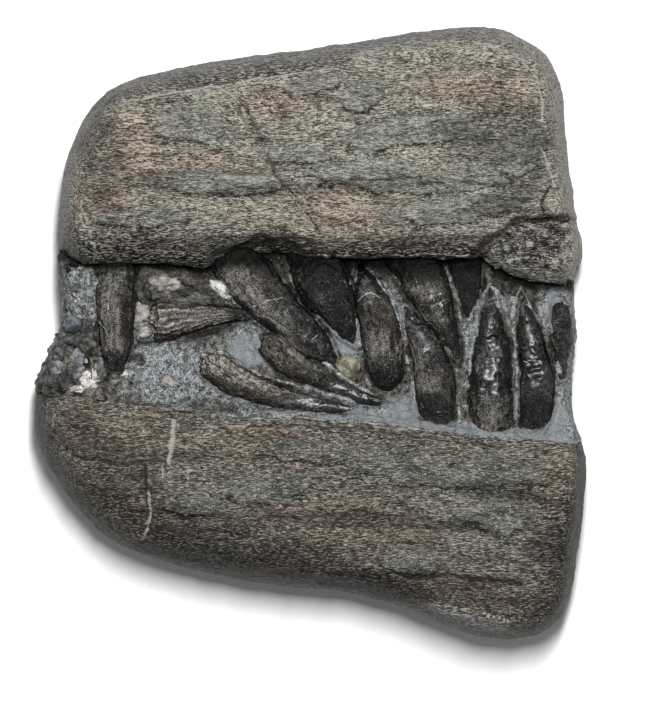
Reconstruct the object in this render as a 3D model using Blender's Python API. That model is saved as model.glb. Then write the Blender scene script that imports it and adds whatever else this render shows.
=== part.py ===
"""Fossil ichthyosaur jaw: a sea-worn block of rock that holds a length of the closed snout.

The upper and lower jaw bones run from left to right, with a strip of grey rock between them.
The strip has been cut back so that the teeth stand out of it. The block lies on its back.
+X is to the right and +Y towards the top of the upper jaw, seen from above; +Z is up.
All sizes are in millimetres and are turned into metres where they meet Blender.
"""

import math

import bmesh
import bpy
import numpy as np
from mathutils import Vector, noise

MM = 0.001

# The block: its greatest outline seen from above, one side at a time
TOP_SIDE = [(-86.6, 68.6), (-78.6, 83), (-67.5, 90.7), (-49.5, 95.8), (-26, 100), (3, 103.5), (32, 108.4), (51, 110.6)]
RIGHT_SIDE = [(66, 110.8), (76, 107.2), (85, 101), (90.2, 91), (92, 75.8), (94.2, 56), (96.7, 39.5), (98.6, 28)]
TOOTH_RIGHT = [(95.6, 21), (95.3, 10.4), (96, 2), (94.7, -14), (95, -29)]
BOTTOM_RIGHT = [(99.4, -44), (99.2, -58), (97, -77), (94.2, -93), (88.5, -105), (79, -110), (65, -110.5)]
BOTTOM_SIDE = [(50.5, -106.4), (32, -98.8), (14, -94), (-11, -91.5), (-40, -86.4), (-58.6, -81), (-73, -74.4)]
LEFT_SIDE = [(-84, -64), (-92, -53.5), (-98, -42), (-100.2, -29.6), (-98.8, -16.5), (-94, -5)]
TOOTH_LEFT = [(-90.3, 3), (-90.4, 12), (-91, 24), (-91.3, 36), (-90.6, 52)]

# How far in from that outline the front face begins, by direction from the middle in degrees
SHOULDER_WIDTH = [(0, 9), (40, 12), (60, 16), (90, 11), (120, 13), (145, 18), (180, 14), (205, 22), (230, 30), (265, 22), (300, 16), (330, 11)]

FACE_HEIGHT = 60.0
WAIST_HEIGHT = 27.0
SHOULDER_POWER = 0.84

# Each jaw bone is crowned about a line along X, and falls away from it by so much at this distance
UPPER_CROWN_Y = 66.0
LOWER_CROWN_Y = -56.0
CROWN_REACH = 45.0
UPPER_FALL = 3.0
LOWER_FALL = 3.6
SWELL_SIZE = 38.0
SWELL_DEPTH = 1.1

# The worn flat that the block lies on, as a share of its plan, and the lift around it
REST_SHARE = 0.6
BACK_LIFT = 3.0

BLOCK_CUTS = 27
FLAT_SHARE = 0.8

# Where each jaw bone ends and the rock between them begins
UPPER_EDGE = [
    (-120, 29), (-89, 28.5), (-81.5, 25.2), (-57.5, 24.9), (-45, 24.2), (-38.7, 23.1), (-35, 25.6), (-25.4, 28.1),
    (-17.5, 29.4), (-6.8, 29), (-2.9, 27.4), (14, 26.7), (39, 27.4), (60, 27), (63.4, 27.6), (66, 24), (70, 21.4),
    (78.4, 18.8), (94.2, 17.7), (120, 17.5),
]
LOWER_EDGE = [
    (-120, -20.5), (-90, -22), (-57.8, -25.3), (-39.8, -27.8), (-25.5, -30.2), (-14.7, -30.2), (-4, -29.2),
    (6.8, -30.3), (21.2, -31.4), (46.3, -35), (64.2, -36.8), (95.8, -39.3), (120, -40),
]
GAP = 0.3

# The broken corner of the upper jaw: a shelf below the face, with a rough lump on it
CORNER_STEP = [(59.5, 24), (65, 31), (69, 34), (71.6, 39.5), (78.4, 41.2), (92, 41.6), (115, 42.5), (115, 5), (59.5, 5)]
SHELF_DEPTH = 5.0
SHELF_LUMP = {"centre": (80.5, 28.5, 47.5), "radii": (17.0, 10.5, 9.0)}

# The cut-back rock: its height under the upper jaw and at the lower jaw, and what is added at the left
BED_UPPER_HEIGHT = 46.0
BED_LOWER_HEIGHT = 49.5
BED_LEFT_RISE = 4.5
BED_LEFT_X = (-35.0, -62.0)
FILLET_WIDTH = 3.5
FILLET_HEIGHT = 5.5
BED_STEP = 4.0
BED_LUMPS = [(-82, -7, 6.5, 4), (-90, -12, 5, 3), (-77, -17, 5, 3), (-47, 15, 8, 5), (-56, 17, 5, 4), (-28, 17, 7, 3)]

# Teeth: the line each one follows from its root to its tip, and how wide it is at each point
UPPER_TEETH = {
    "blunt": ([(-70.2, 32), (-70.2, 12), (-70.3, -2), (-71, -14.6)], [13.4, 13.3, 11.6, 4.6]),
    "great": (
        [(-33, 35), (-24, 21.5), (-15.5, 12.1), (-5.8, 2.7), (2.5, -5.2), (8.8, -11.2)],
        [20, 19, 17, 14.6, 10.8, 4.2],
    ),
    "second": ([(-1.5, 34), (4, 19.3), (9, 10.3), (13.3, 3.1), (16.9, -4)], [20, 17.6, 13.6, 9, 2.6]),
    "third": ([(34, 34), (40.7, 18.5), (45.7, 8.5), (50, -1.6), (53, -10)], [17, 15.8, 12.8, 7.4, 2]),
    "short": ([(54, 34), (55.8, 17.5), (56.6, 5.4)], [14.4, 11, 2.2]),
    "end": ([(89, 26), (89.6, 8.5), (89.8, -4), (90, -17.5)], [8.4, 8.4, 7, 2.6]),
}
LOWER_TEETH = {
    "slanting": (
        [(45.4, -42), (45, -24.7), (44.3, -15.3), (42.1, -6.7), (38.2, 1.6), (34, 9.7)],
        [14, 15, 15, 13, 8.8, 1.8],
    ),
    "tall": (
        [(65.9, -44), (65.4, -32.9), (65.2, -22), (65.2, -11.3), (65.2, -1.6), (64.8, 8.5), (64, 16.4)],
        [13, 15.4, 17.2, 15.2, 12, 8, 1.8],
    ),
    "narrow": (
        [(79.6, -45), (81, -28.3), (81.7, -19.6), (80.6, -9.5), (78.8, -0.5), (77.4, 7.7), (75.6, 14.8)],
        [11, 13.4, 14.2, 12.2, 10.4, 7.4, 1.8],
    ),
}
LOOSE_TEETH = {
    "loose_tooth_long": (
        [(-40.5, -8.3), (-32, -13.9), (-23.4, -18.9), (-14, -22.6), (-4, -25), (5.4, -26.4), (14.2, -27.2)],
        [7, 12.2, 11.6, 9.8, 7.6, 5.2, 1.5],
    ),
    "loose_tooth_short": (
        [(-18, 0.4), (-12.2, -6.3), (-5.4, -11.7), (2.2, -16), (10.8, -20), (18.7, -23.2), (25.6, -24.9)],
        [6, 10, 10.8, 9.2, 6.2, 4.6, 1.5],
    ),
    "loose_tooth_upright": (
        [(27.4, -20), (26.6, -11.3), (25.6, -2.3), (23.4, 6.7), (20.4, 15.7), (18, 24.6)],
        [6, 13.4, 14.8, 14, 10.8, 2.6],
    ),
    "loose_root": ([(-58.8, 4), (-50.8, 4.9), (-41.8, 5.9), (-31, 6.7), (-20, 6.5)], [13.6, 12, 8.6, 4.6, 2]),
}
TOOTH_FLATNESS = 0.78
TOOTH_LIFT = 0.4
ROOT_DIVE = 3.0
TOOTH_SIDES_RESOLUTION = 4
TOOTH_RINGS_PER_POINT = 2

# Rounded stones held in the rock: centre and radii seen from above, and half height
NODULES = {
    "nodule_round": ((13.1, -12.2), (4.4, 4.2), 3.4),
    "nodule_oval": ((54.6, -14.8), (2.0, 2.8), 2.2),
    "nodule_edge": ((-82.4, 3.2), (3.4, 3.2), 3.0),
}

COLOURS = {
    "upper_jaw": ((0.16, 0.13, 0.10, 1), 0.75),
    "lower_jaw": ((0.14, 0.115, 0.09, 1), 0.75),
    "matrix": ((0.27, 0.28, 0.28, 1), 0.85),
    "loose_tooth": ((0.06, 0.05, 0.045, 1), 0.4),
    "nodule": ((0.22, 0.20, 0.14, 1), 0.6),
}


def clear_scene():
    for obj in list(bpy.data.objects):
        bpy.data.objects.remove(obj, do_unlink=True)


def add_object(name, bm):
    """Puts a finished bmesh into the scene as an object, in metres."""
    bmesh.ops.scale(bm, vec=(MM, MM, MM), verts=bm.verts)
    bmesh.ops.recalc_face_normals(bm, faces=bm.faces)
    mesh = bpy.data.meshes.new(name)
    bm.to_mesh(mesh)
    bm.free()
    obj = bpy.data.objects.new(name, mesh)
    bpy.context.collection.objects.link(obj)
    return obj


def smooth_outline(points):
    """Points read from a closed Bezier curve with automatic handles through the given ones."""
    curve = bpy.data.curves.new("outline", "CURVE")
    curve.resolution_u = 6
    spline = curve.splines.new("BEZIER")
    spline.bezier_points.add(len(points) - 1)
    spline.use_cyclic_u = True
    for bezier, (x, y) in zip(spline.bezier_points, points):
        bezier.co = (x, y, 0)
        bezier.handle_left_type = bezier.handle_right_type = "AUTO"
    guide = bpy.data.objects.new("outline", curve)
    bpy.context.collection.objects.link(guide)
    mesh = guide.to_mesh()
    line = np.array([vertex.co[:2] for vertex in mesh.vertices])
    guide.to_mesh_clear()
    bpy.data.objects.remove(guide)
    return line


def edge_y(edge, x):
    xs, ys = zip(*edge)
    return float(np.interp(x, xs, ys))


def face_height(x, y):
    """Height of the worn front face of both jaw bones."""
    crown_y, fall = (UPPER_CROWN_Y, UPPER_FALL) if y > 0 else (LOWER_CROWN_Y, LOWER_FALL)
    away = abs(y - crown_y) / CROWN_REACH
    swell = noise.noise(Vector((x / SWELL_SIZE, y / SWELL_SIZE, 0)))
    return FACE_HEIGHT - fall * min(away, 1.3) ** 2 + SWELL_DEPTH * swell


def make_block():
    """The whole stone: a finely divided cube, drawn out to the outline with rounded shoulders."""
    outline = smooth_outline(
        TOP_SIDE + RIGHT_SIDE + TOOTH_RIGHT + BOTTOM_RIGHT + BOTTOM_SIDE + LEFT_SIDE + TOOTH_LEFT
    )
    angles = np.degrees(np.arctan2(outline[:, 1], outline[:, 0]))
    radii = np.hypot(outline[:, 0], outline[:, 1])
    shoulder_angles, shoulder_widths = zip(*SHOULDER_WIDTH)

    def stretch(co):
        a, b, c = (2 * value for value in co)
        share = max(abs(a), abs(b))
        angle = math.atan2(b, a)
        degrees = math.degrees(angle)
        radius = float(np.interp(degrees, angles[order], radii[order], period=360))
        width = float(np.interp(degrees, shoulder_angles, shoulder_widths, period=360))
        if abs(c) < 1 - 1e-6 or share > 1 - 1e-6:
            tilt = c * math.pi / 4
        elif share > FLAT_SHARE:
            beyond = (share - FLAT_SHARE) / (1 - FLAT_SHARE)
            tilt = math.copysign(math.pi / 2 - beyond * math.pi / 4, c)
        else:
            tilt = math.copysign(math.pi / 2, c)
        inset = width * (1 - max(math.cos(tilt), 0) ** SHOULDER_POWER)
        reach = radius - inset
        if abs(tilt) > math.pi / 2 - 1e-6:
            reach *= share / FLAT_SHARE
        x, y = reach * math.cos(angle), reach * math.sin(angle)
        rise = abs(math.sin(tilt)) ** SHOULDER_POWER
        if c > 0:
            return x, y, WAIST_HEIGHT + rise * (face_height(x, y) - WAIST_HEIGHT)
        outside = max(0.0, share / REST_SHARE - 1) * REST_SHARE / (1 - REST_SHARE)
        back = BACK_LIFT * outside**2
        return x, y, WAIST_HEIGHT - rise * (WAIST_HEIGHT - back)

    order = np.argsort(angles)
    bm = bmesh.new()
    bmesh.ops.create_cube(bm, size=1)
    bmesh.ops.subdivide_edges(bm, edges=bm.edges, cuts=BLOCK_CUTS, use_grid_fill=True)
    for vertex in bm.verts:
        vertex.co = stretch(vertex.co)
    lowest = [face for face in bm.faces if max(v.co.z for v in face.verts) < 1e-4]
    bmesh.ops.dissolve_faces(bm, faces=lowest, use_verts=True)
    return add_object("block", bm)


def make_prism(name, plan, low, high):
    """A closed prism over a plan outline."""
    bm = bmesh.new()
    base = bm.faces.new([bm.verts.new((x, y, low)) for x, y in plan])
    lifted = bmesh.ops.extrude_face_region(bm, geom=[base])["geom"]
    tops = [item for item in lifted if isinstance(item, bmesh.types.BMVert)]
    bmesh.ops.translate(bm, vec=(0, 0, high - low), verts=tops)
    return add_object(name, bm)


def bed_plane(x, y):
    """Height of the cut-back rock without its lumps and edges. The teeth lie half sunk in it."""
    upper, lower = edge_y(UPPER_EDGE, x), edge_y(LOWER_EDGE, x)
    across = min(max((upper - y) / (upper - lower), 0), 1)
    near, far = BED_LEFT_X
    leftwards = min(max((near - x) / (near - far), 0), 1)
    rise = BED_LEFT_RISE * leftwards * leftwards * (3 - 2 * leftwards)
    return BED_UPPER_HEIGHT + across * (BED_LOWER_HEIGHT - BED_UPPER_HEIGHT) + rise


def bed_height(x, y):
    """Height of the rock that has been cut back round the teeth."""
    height = bed_plane(x, y)
    height += FILLET_HEIGHT * math.exp(-max(y - edge_y(LOWER_EDGE, x), 0) / FILLET_WIDTH)
    for lump_x, lump_y, size, rise in BED_LUMPS:
        height += rise * math.exp(-((x - lump_x) ** 2 + (y - lump_y) ** 2) / size**2)
    return height + 0.7 * noise.noise(Vector((x / 9, y / 9, 4)))


def make_bed_cutter():
    """The space in front of the cut-back rock, with the rock's surface as its underside."""
    half_x, low_y, high_y = 110, -46, 36
    bm = bmesh.new()
    bmesh.ops.create_grid(
        bm, x_segments=round(2 * half_x / BED_STEP), y_segments=round((high_y - low_y) / BED_STEP), size=0.5
    )
    for vertex in bm.verts:
        x = 2 * half_x * vertex.co.x
        y = low_y + (vertex.co.y + 0.5) * (high_y - low_y)
        vertex.co = (x, y, bed_height(x, y))
    lifted = bmesh.ops.extrude_face_region(bm, geom=bm.faces[:])["geom"]
    for item in lifted:
        if isinstance(item, bmesh.types.BMVert):
            item.co.z = FACE_HEIGHT + 20
    return add_object("bed_cutter", bm)


def make_tooth(name, line, widths, grow=0.0):
    """A tooth: a flattened tube on a smooth line, thick at the root and drawn out to the tip."""
    curve = bpy.data.curves.new(name, "CURVE")
    curve.dimensions = "3D"
    curve.bevel_depth = 1
    curve.bevel_resolution = TOOTH_SIDES_RESOLUTION
    curve.resolution_u = TOOTH_RINGS_PER_POINT
    curve.use_fill_caps = True
    curve.twist_mode = "Z_UP"
    spline = curve.splines.new("BEZIER")
    spline.bezier_points.add(len(line) - 1)
    for bezier, (x, y), width in zip(spline.bezier_points, line, widths):
        from_lower_jaw = max(y - edge_y(LOWER_EDGE, x), 0)
        height = bed_plane(x, y) + TOOTH_LIFT - ROOT_DIVE * math.exp(-from_lower_jaw / FILLET_WIDTH)
        bezier.co = Vector((x, y, height / TOOTH_FLATNESS)) * MM
        bezier.radius = (width / 2 + grow) * MM
        bezier.handle_left_type = bezier.handle_right_type = "AUTO"
    if grow:
        first, last = spline.bezier_points[0], spline.bezier_points[-1]
        for end, inner in ((first, spline.bezier_points[1]), (last, spline.bezier_points[-2])):
            end.co += (end.co - inner.co).normalized() * grow * MM
    tube = bpy.data.objects.new(name, curve)
    bpy.context.collection.objects.link(tube)
    bm = bmesh.new()
    bm.from_mesh(tube.to_mesh())
    tube.to_mesh_clear()
    bpy.data.objects.remove(tube)
    bmesh.ops.remove_doubles(bm, verts=bm.verts, dist=1e-6)
    bmesh.ops.scale(bm, vec=(1 / MM, 1 / MM, TOOTH_FLATNESS / MM), verts=bm.verts)
    return add_object(name, bm)


def make_boulder(name, centre, radii, roughness=0.0, grow=0.0, subdivisions=3):
    """A rounded stone, uneven if roughness is above 0."""
    bm = bmesh.new()
    bmesh.ops.create_icosphere(bm, subdivisions=subdivisions, radius=1)
    for vertex in bm.verts:
        uneven = 1 + roughness * noise.noise(vertex.co * 2.1)
        vertex.co = Vector(
            middle + direction * (radius * uneven + grow)
            for middle, direction, radius in zip(centre, vertex.co, radii)
        )
    return add_object(name, bm)


def make_nodule(name, grow=0.0):
    (x, y), (radius_x, radius_y), half_height = NODULES[name]
    return make_boulder(name, (x, y, bed_height(x, y)), (radius_x, radius_y, half_height), grow=grow, subdivisions=2)


def combine(base, operation, others):
    """Joins others to base, or cuts them from it, and removes them."""
    group = bpy.data.collections.new("operands")
    bpy.context.scene.collection.children.link(group)
    for obj in others:
        bpy.context.collection.objects.unlink(obj)
        group.objects.link(obj)
    boolean = base.modifiers.new(operation.lower(), "BOOLEAN")
    boolean.operation = operation
    boolean.operand_type = "COLLECTION"
    boolean.collection = group
    boolean.solver = "EXACT"
    graph = bpy.context.evaluated_depsgraph_get()
    result = bpy.data.meshes.new_from_object(base.evaluated_get(graph))
    base.modifiers.clear()
    base.data = result
    for obj in others:
        bpy.data.objects.remove(obj, do_unlink=True)
    bpy.data.collections.remove(group)


def keep_largest(obj):
    """Drops loose scraps, so that the node is one closed surface."""
    bm = bmesh.new()
    bm.from_mesh(obj.data)
    bmesh.ops.triangulate(bm, faces=bm.faces)
    left = set(bm.verts)
    parts = []
    while left:
        reached, waiting = set(), [left.pop()]
        while waiting:
            vertex = waiting.pop()
            reached.add(vertex)
            for edge in vertex.link_edges:
                other = edge.other_vert(vertex)
                if other in left:
                    left.discard(other)
                    waiting.append(other)
        parts.append(reached)
    biggest = max(parts, key=len)
    bmesh.ops.delete(bm, geom=[v for part in parts if part is not biggest for v in part], context="VERTS")
    bm.to_mesh(obj.data)
    bm.free()


def grown_teeth(teeth):
    return [make_tooth("clearance", line, widths, GAP) for line, widths in teeth.values()]


def teeth_of(teeth):
    return [make_tooth(name, line, widths) for name, (line, widths) in teeth.items()]


def zone(block, name, plan):
    """The part of the block that lies inside a plan outline."""
    part = bpy.data.objects.new(name, block.data.copy())
    bpy.context.collection.objects.link(part)
    combine(part, "INTERSECT", [make_prism("zone", plan, -20, FACE_HEIGHT + 20)])
    return part


def shifted(edge, by):
    return [(x, y + by) for x, y in edge]


def make_upper_jaw(block):
    far = 130
    plan = shifted(UPPER_EDGE, GAP / 2) + [(far, far), (-far, far)]
    jaw = zone(block, "upper_jaw", plan)
    combine(jaw, "DIFFERENCE", [make_prism("step", CORNER_STEP, FACE_HEIGHT - SHELF_DEPTH, FACE_HEIGHT + 20)])
    combine(jaw, "UNION", [make_boulder("lump", SHELF_LUMP["centre"], SHELF_LUMP["radii"], roughness=0.25)])
    combine(jaw, "INTERSECT", [make_prism("zone", plan, -20, FACE_HEIGHT + 20)])
    combine(jaw, "UNION", teeth_of(UPPER_TEETH))
    combine(jaw, "DIFFERENCE", grown_teeth(LOWER_TEETH))
    return jaw


def make_lower_jaw(block):
    far = 130
    jaw = zone(block, "lower_jaw", [(-far, -far), (far, -far)] + shifted(LOWER_EDGE, -GAP / 2)[::-1])
    combine(jaw, "UNION", teeth_of(LOWER_TEETH))
    return jaw


def make_matrix(block):
    plan = shifted(LOWER_EDGE, GAP / 2) + shifted(UPPER_EDGE, -GAP / 2)[::-1]
    rock = zone(block, "matrix", plan)
    combine(rock, "DIFFERENCE", [make_bed_cutter()])
    sockets = [make_nodule(name, GAP) for name in NODULES]
    combine(rock, "DIFFERENCE", grown_teeth(UPPER_TEETH | LOWER_TEETH | LOOSE_TEETH) + sockets)
    return rock


def make_loose_teeth():
    """Each loose tooth gives way to the jaws' own teeth and to the loose ones made before it."""
    made = []
    for index, (name, (line, widths)) in enumerate(LOOSE_TEETH.items()):
        tooth = make_tooth(name, line, widths)
        before = dict(list(LOOSE_TEETH.items())[:index])
        combine(tooth, "DIFFERENCE", grown_teeth(UPPER_TEETH | LOWER_TEETH | before))
        made.append(tooth)
    return made


def make_nodules():
    """The rounded stones, each one giving way to the teeth beside it."""
    made = []
    for name in NODULES:
        nodule = make_nodule(name)
        combine(nodule, "DIFFERENCE", grown_teeth(UPPER_TEETH | LOWER_TEETH | LOOSE_TEETH))
        made.append(nodule)
    return made


def finish(obj, finish_name):
    colour, roughness = COLOURS[finish_name]
    material = bpy.data.materials.get(finish_name) or bpy.data.materials.new(finish_name)
    material.use_nodes = True
    shader = material.node_tree.nodes["Principled BSDF"]
    shader.inputs["Base Color"].default_value = colour
    shader.inputs["Roughness"].default_value = roughness
    shader.inputs["Metallic"].default_value = 0
    obj.data.materials.clear()
    obj.data.materials.append(material)
    keep_largest(obj)
    obj.data.shade_smooth()
    obj.data.set_sharp_from_angle(angle=math.radians(40))


def centre_on_floor(objects):
    """Moves the model so that the middle of its underside is at the origin."""
    corners = np.array([obj.matrix_world @ vertex.co for obj in objects for vertex in obj.data.vertices])
    low, high = corners.min(axis=0), corners.max(axis=0)
    middle = Vector(((low[0] + high[0]) / 2, (low[1] + high[1]) / 2, low[2]))
    for obj in objects:
        for vertex in obj.data.vertices:
            vertex.co -= middle


def main():
    clear_scene()
    block = make_block()
    upper_jaw, lower_jaw, matrix = make_upper_jaw(block), make_lower_jaw(block), make_matrix(block)
    bpy.data.objects.remove(block)
    loose = make_loose_teeth()
    nodules = make_nodules()
    finish(upper_jaw, "upper_jaw")
    finish(lower_jaw, "lower_jaw")
    finish(matrix, "matrix")
    for tooth in loose:
        finish(tooth, "loose_tooth")
    for nodule in nodules:
        finish(nodule, "nodule")
    centre_on_floor([upper_jaw, lower_jaw, matrix, *loose, *nodules])


main()
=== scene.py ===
"""Fossil ichthyosaur jaw: the worn stone with its bones, teeth and rock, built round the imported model.

Sizes in the tables below are in millimetres, in plan: X to the right along the jaws, Y towards
the top of the upper jaw, Z up. Every finished mesh is in metres.
"""

import math

import bmesh
import bpy
import numpy as np
from bpy.props import FloatProperty, FloatVectorProperty, IntProperty, PointerProperty
from bpy.types import Operator, Panel, PropertyGroup
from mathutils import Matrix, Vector, noise
from mathutils.bvhtree import BVHTree


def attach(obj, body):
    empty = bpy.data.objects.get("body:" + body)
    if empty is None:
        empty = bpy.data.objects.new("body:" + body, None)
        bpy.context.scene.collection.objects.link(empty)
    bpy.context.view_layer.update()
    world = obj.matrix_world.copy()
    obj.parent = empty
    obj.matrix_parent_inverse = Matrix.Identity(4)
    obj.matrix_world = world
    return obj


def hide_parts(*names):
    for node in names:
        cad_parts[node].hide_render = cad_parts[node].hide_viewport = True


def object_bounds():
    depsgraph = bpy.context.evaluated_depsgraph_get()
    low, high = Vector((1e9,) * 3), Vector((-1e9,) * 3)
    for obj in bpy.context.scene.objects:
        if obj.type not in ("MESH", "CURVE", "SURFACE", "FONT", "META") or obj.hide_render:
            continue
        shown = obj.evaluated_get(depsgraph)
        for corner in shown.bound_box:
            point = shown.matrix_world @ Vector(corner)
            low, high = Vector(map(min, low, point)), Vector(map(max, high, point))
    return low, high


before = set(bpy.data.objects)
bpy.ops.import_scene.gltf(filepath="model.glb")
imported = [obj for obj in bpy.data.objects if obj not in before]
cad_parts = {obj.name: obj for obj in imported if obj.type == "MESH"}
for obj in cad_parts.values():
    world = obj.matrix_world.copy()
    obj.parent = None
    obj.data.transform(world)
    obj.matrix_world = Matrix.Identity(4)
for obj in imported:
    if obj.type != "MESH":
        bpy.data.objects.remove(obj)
CAD_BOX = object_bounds()

bl_info = {
    "name": "Fossil ichthyosaur jaw",
    "version": (1, 0, 0),
    "blender": (4, 5, 0),
    "location": "3D View > Sidebar > Fossil jaw",
    "description": "Builds a sea-worn block of rock with the bones and teeth of an ichthyosaur's snout",
    "category": "Add Mesh",
}

MM = 0.001

# The photo's height in pixels and its scale in mm to a pixel, which give the camera's frame
PHOTO_HEIGHT = 702
PHOTO_SCALE = 0.3636
CAMERA_PLACE = (7.8, -6.4)
CAMERA_DISTANCE = 3.0
SENSOR_WIDTH = 36
KEY_LIGHT_PLACE = (0.06, 0.35, 1.675)
KEY_LIGHT_SIZE = (0.14, 0.52)
KEY_LIGHT_POWER = 37.3
WORLD_LIGHT = 0.22

# Half degrees over which a zone's outline is evened out towards its middle
EASE_STEPS = 24

# The stone's greatest outline in plan
OUTLINE = [
    (-86.6, 68.6), (-78.6, 83), (-67.5, 90.7), (-49.5, 95.8), (-26, 100), (3, 103.5), (32, 108.4),
    (51, 110.6), (66, 110.8), (76, 107.2), (85, 101), (90.2, 91), (92, 75.8), (94.2, 56), (96.7, 39.5),
    (98.6, 28), (95.6, 21), (95.3, 10.4), (96, 2), (94.7, -14), (95, -29), (99.4, -44), (99.2, -58),
    (97, -77), (94.2, -93), (88.5, -105), (79, -110), (65, -110.5), (50.5, -106.4), (32, -98.8),
    (14, -94), (-11, -91.5), (-40, -86.4), (-58.6, -81), (-73, -74.4), (-84, -64), (-92, -53.5),
    (-98, -42), (-100.2, -29.6), (-98.8, -16.5), (-94, -5), (-90.3, 3), (-90.4, 12), (-91, 24),
    (-91.3, 36), (-90.6, 52),
]

# How far the edges round over, by direction from the middle in degrees
SHOULDER_WIDTH = [
    (0, 9), (40, 12), (60, 16), (90, 11), (120, 13), (145, 18),
    (180, 14), (205, 22), (230, 30), (265, 22), (300, 16), (330, 11),
]
WAIST_HEIGHT = 27.0
SHOULDER_POWER = 0.84
HIGHEST_PEAK = 60.3
PEAK_ROOM = 1.5
UPPER_CROWN_Y = 66.0
LOWER_CROWN_Y = -56.0
CROWN_REACH = 45.0
UPPER_FALL = 3.0
LOWER_FALL = 3.6
SWELL_SIZE = 38.0
SWELL_DEPTH = 1.1
REST_SHARE = 0.6
BACK_LIFT = 3.0
FLAT_SHARE = 0.8

UPPER_EDGE = [
    (-120, 29), (-89, 28.5), (-81.5, 25.2), (-57.5, 24.9), (-45, 24.2), (-38.7, 23.1), (-35, 25.6),
    (-25.4, 28.1), (-17.5, 29.4), (-6.8, 29), (-2.9, 27.4), (14, 26.7), (39, 27.4), (60, 27),
    (63.4, 27.6), (66, 24), (70, 21.4), (78.4, 18.8), (94.2, 17.7), (120, 17.5),
]
LOWER_EDGE = [
    (-120, -20.5), (-90, -22), (-57.8, -25.3), (-39.8, -27.8), (-25.5, -30.2), (-14.7, -30.2), (-4, -29.2),
    (6.8, -30.3), (21.2, -31.4), (46.3, -35), (64.2, -36.8), (95.8, -39.3), (120, -40),
]

# The broken corner of the upper jaw: the far edge of its shelf in plan
CORNER_STEP = [(60, 27.5), (65, 31.5), (69, 34.5), (71.6, 39.5), (78.4, 41.4), (92, 41.8), (104, 42.2)]
# Lumps on that shelf: x, y, half width, half height, rise
CORNER_LUMPS = [
    (74, 26.5, 9, 5.5, 4.2), (86, 29.5, 9, 7, 4.4), (92, 22, 7, 4, 2.5), (67, 30, 4, 3, 2.2),
    (80, 37, 9, 2.6, 2.0), (95, 36, 4, 5, 2.4),
]

BED_UPPER_HEIGHT = 46.0
BED_LOWER_HEIGHT = 49.5
BED_LEFT_RISE = 4.5
BED_LEFT_X = (-35.0, -62.0)
TROUGH_DEPTH = 6.0
TROUGH_WIDTH = 4.5
FILLET_WIDTH = 3.5
FILLET_HEIGHT = 6.5

# Lumps and holes in the rock: x, y, size, rise or depth
BED_LUMPS = [
    (-82, -7, 6.5, 3.5), (-90, -12, 5, 3), (-77, -17, 5, 3), (-47, 15, 8, 4), (-56, 17, 5, 4),
    (-28, 17, 7, 3), (-88, 3, 4, 2.5), (-83, 20, 5, 2), (-48, -12, 7, 1.6), (-58, -17, 5, 1.8),
    (-40, 20, 5, 3), (90, -30, 7, 2),
]
BED_HOLES = [(-82, -11.5, 3.0, 3.5), (-74.5, -17.5, 2.2, 2.2), (-87, -15, 2.2, 2.0), (-66, 22, 4, 2.0)]

# Grooves in the rock: their lines in plan, half width and depth
GROOVES = [
    ([(-60, -3.4), (-48, -2.4), (-36, 0.6), (-24, 4.6)], 1.5, 3.0),
    ([(-42, -14.5), (-33, -20.5), (-20, -25.5), (-6, -28.8)], 1.0, 1.0),
    ([(-22, -3), (-14, -12), (-4, -18)], 1.0, 1.2),
    ([(-36, 22), (-20, 24), (0, 24), (30, 24), (56, 24)], 3.0, 2.0),
]

# Crests of rock left between the teeth: their lines in plan and how high they stand
RIMS = [
    ([(11.6, 23.8), (14.9, 12.2), (16.7, 4.9), (18.5, -6)], 2.6),
    ([(20.7, 23.8), (25.1, 17.6), (29.5, 10.4), (32.4, 2)], 2.8),
    ([(48.7, 24), (51.5, 15), (53.4, 8.5), (54.6, 0)], 2.2),
    ([(67.6, 13.3), (73.5, 12.9)], 1.6),
    ([(60.6, 12), (58.9, 0), (57.4, -12), (57.6, -22)], 2.6),
    ([(72.9, 4), (73.9, -8), (74.4, -20), (74, -31)], 2.6),
    ([(85, 12), (87.5, -2), (90.2, -16), (91, -27)], 2.0),
    ([(-32.4, -6.7), (-18.5, -15.1), (-0.4, -19.8), (14.2, -24.2)], 2.4),
    ([(36.5, -2), (38, -12), (37.4, -24), (39, -32)], 1.8),
    ([(60.8, 9), (62.2, 14.5), (64.6, 18), (67, 14.5), (68.4, 8)], 2.4),
    ([(72.6, 7), (73.8, 12.5), (75.8, 16.6), (78.4, 12), (80.2, 6)], 2.4),
    ([(-4, -1), (3.5, -9), (11, -15.6), (22, -22)], 1.4),
    ([(-14, -28.7), (6, -28.9), (21, -30.1), (46, -33.6), (64, -35.4), (94, -37.8)], 1.2),
]

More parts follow.
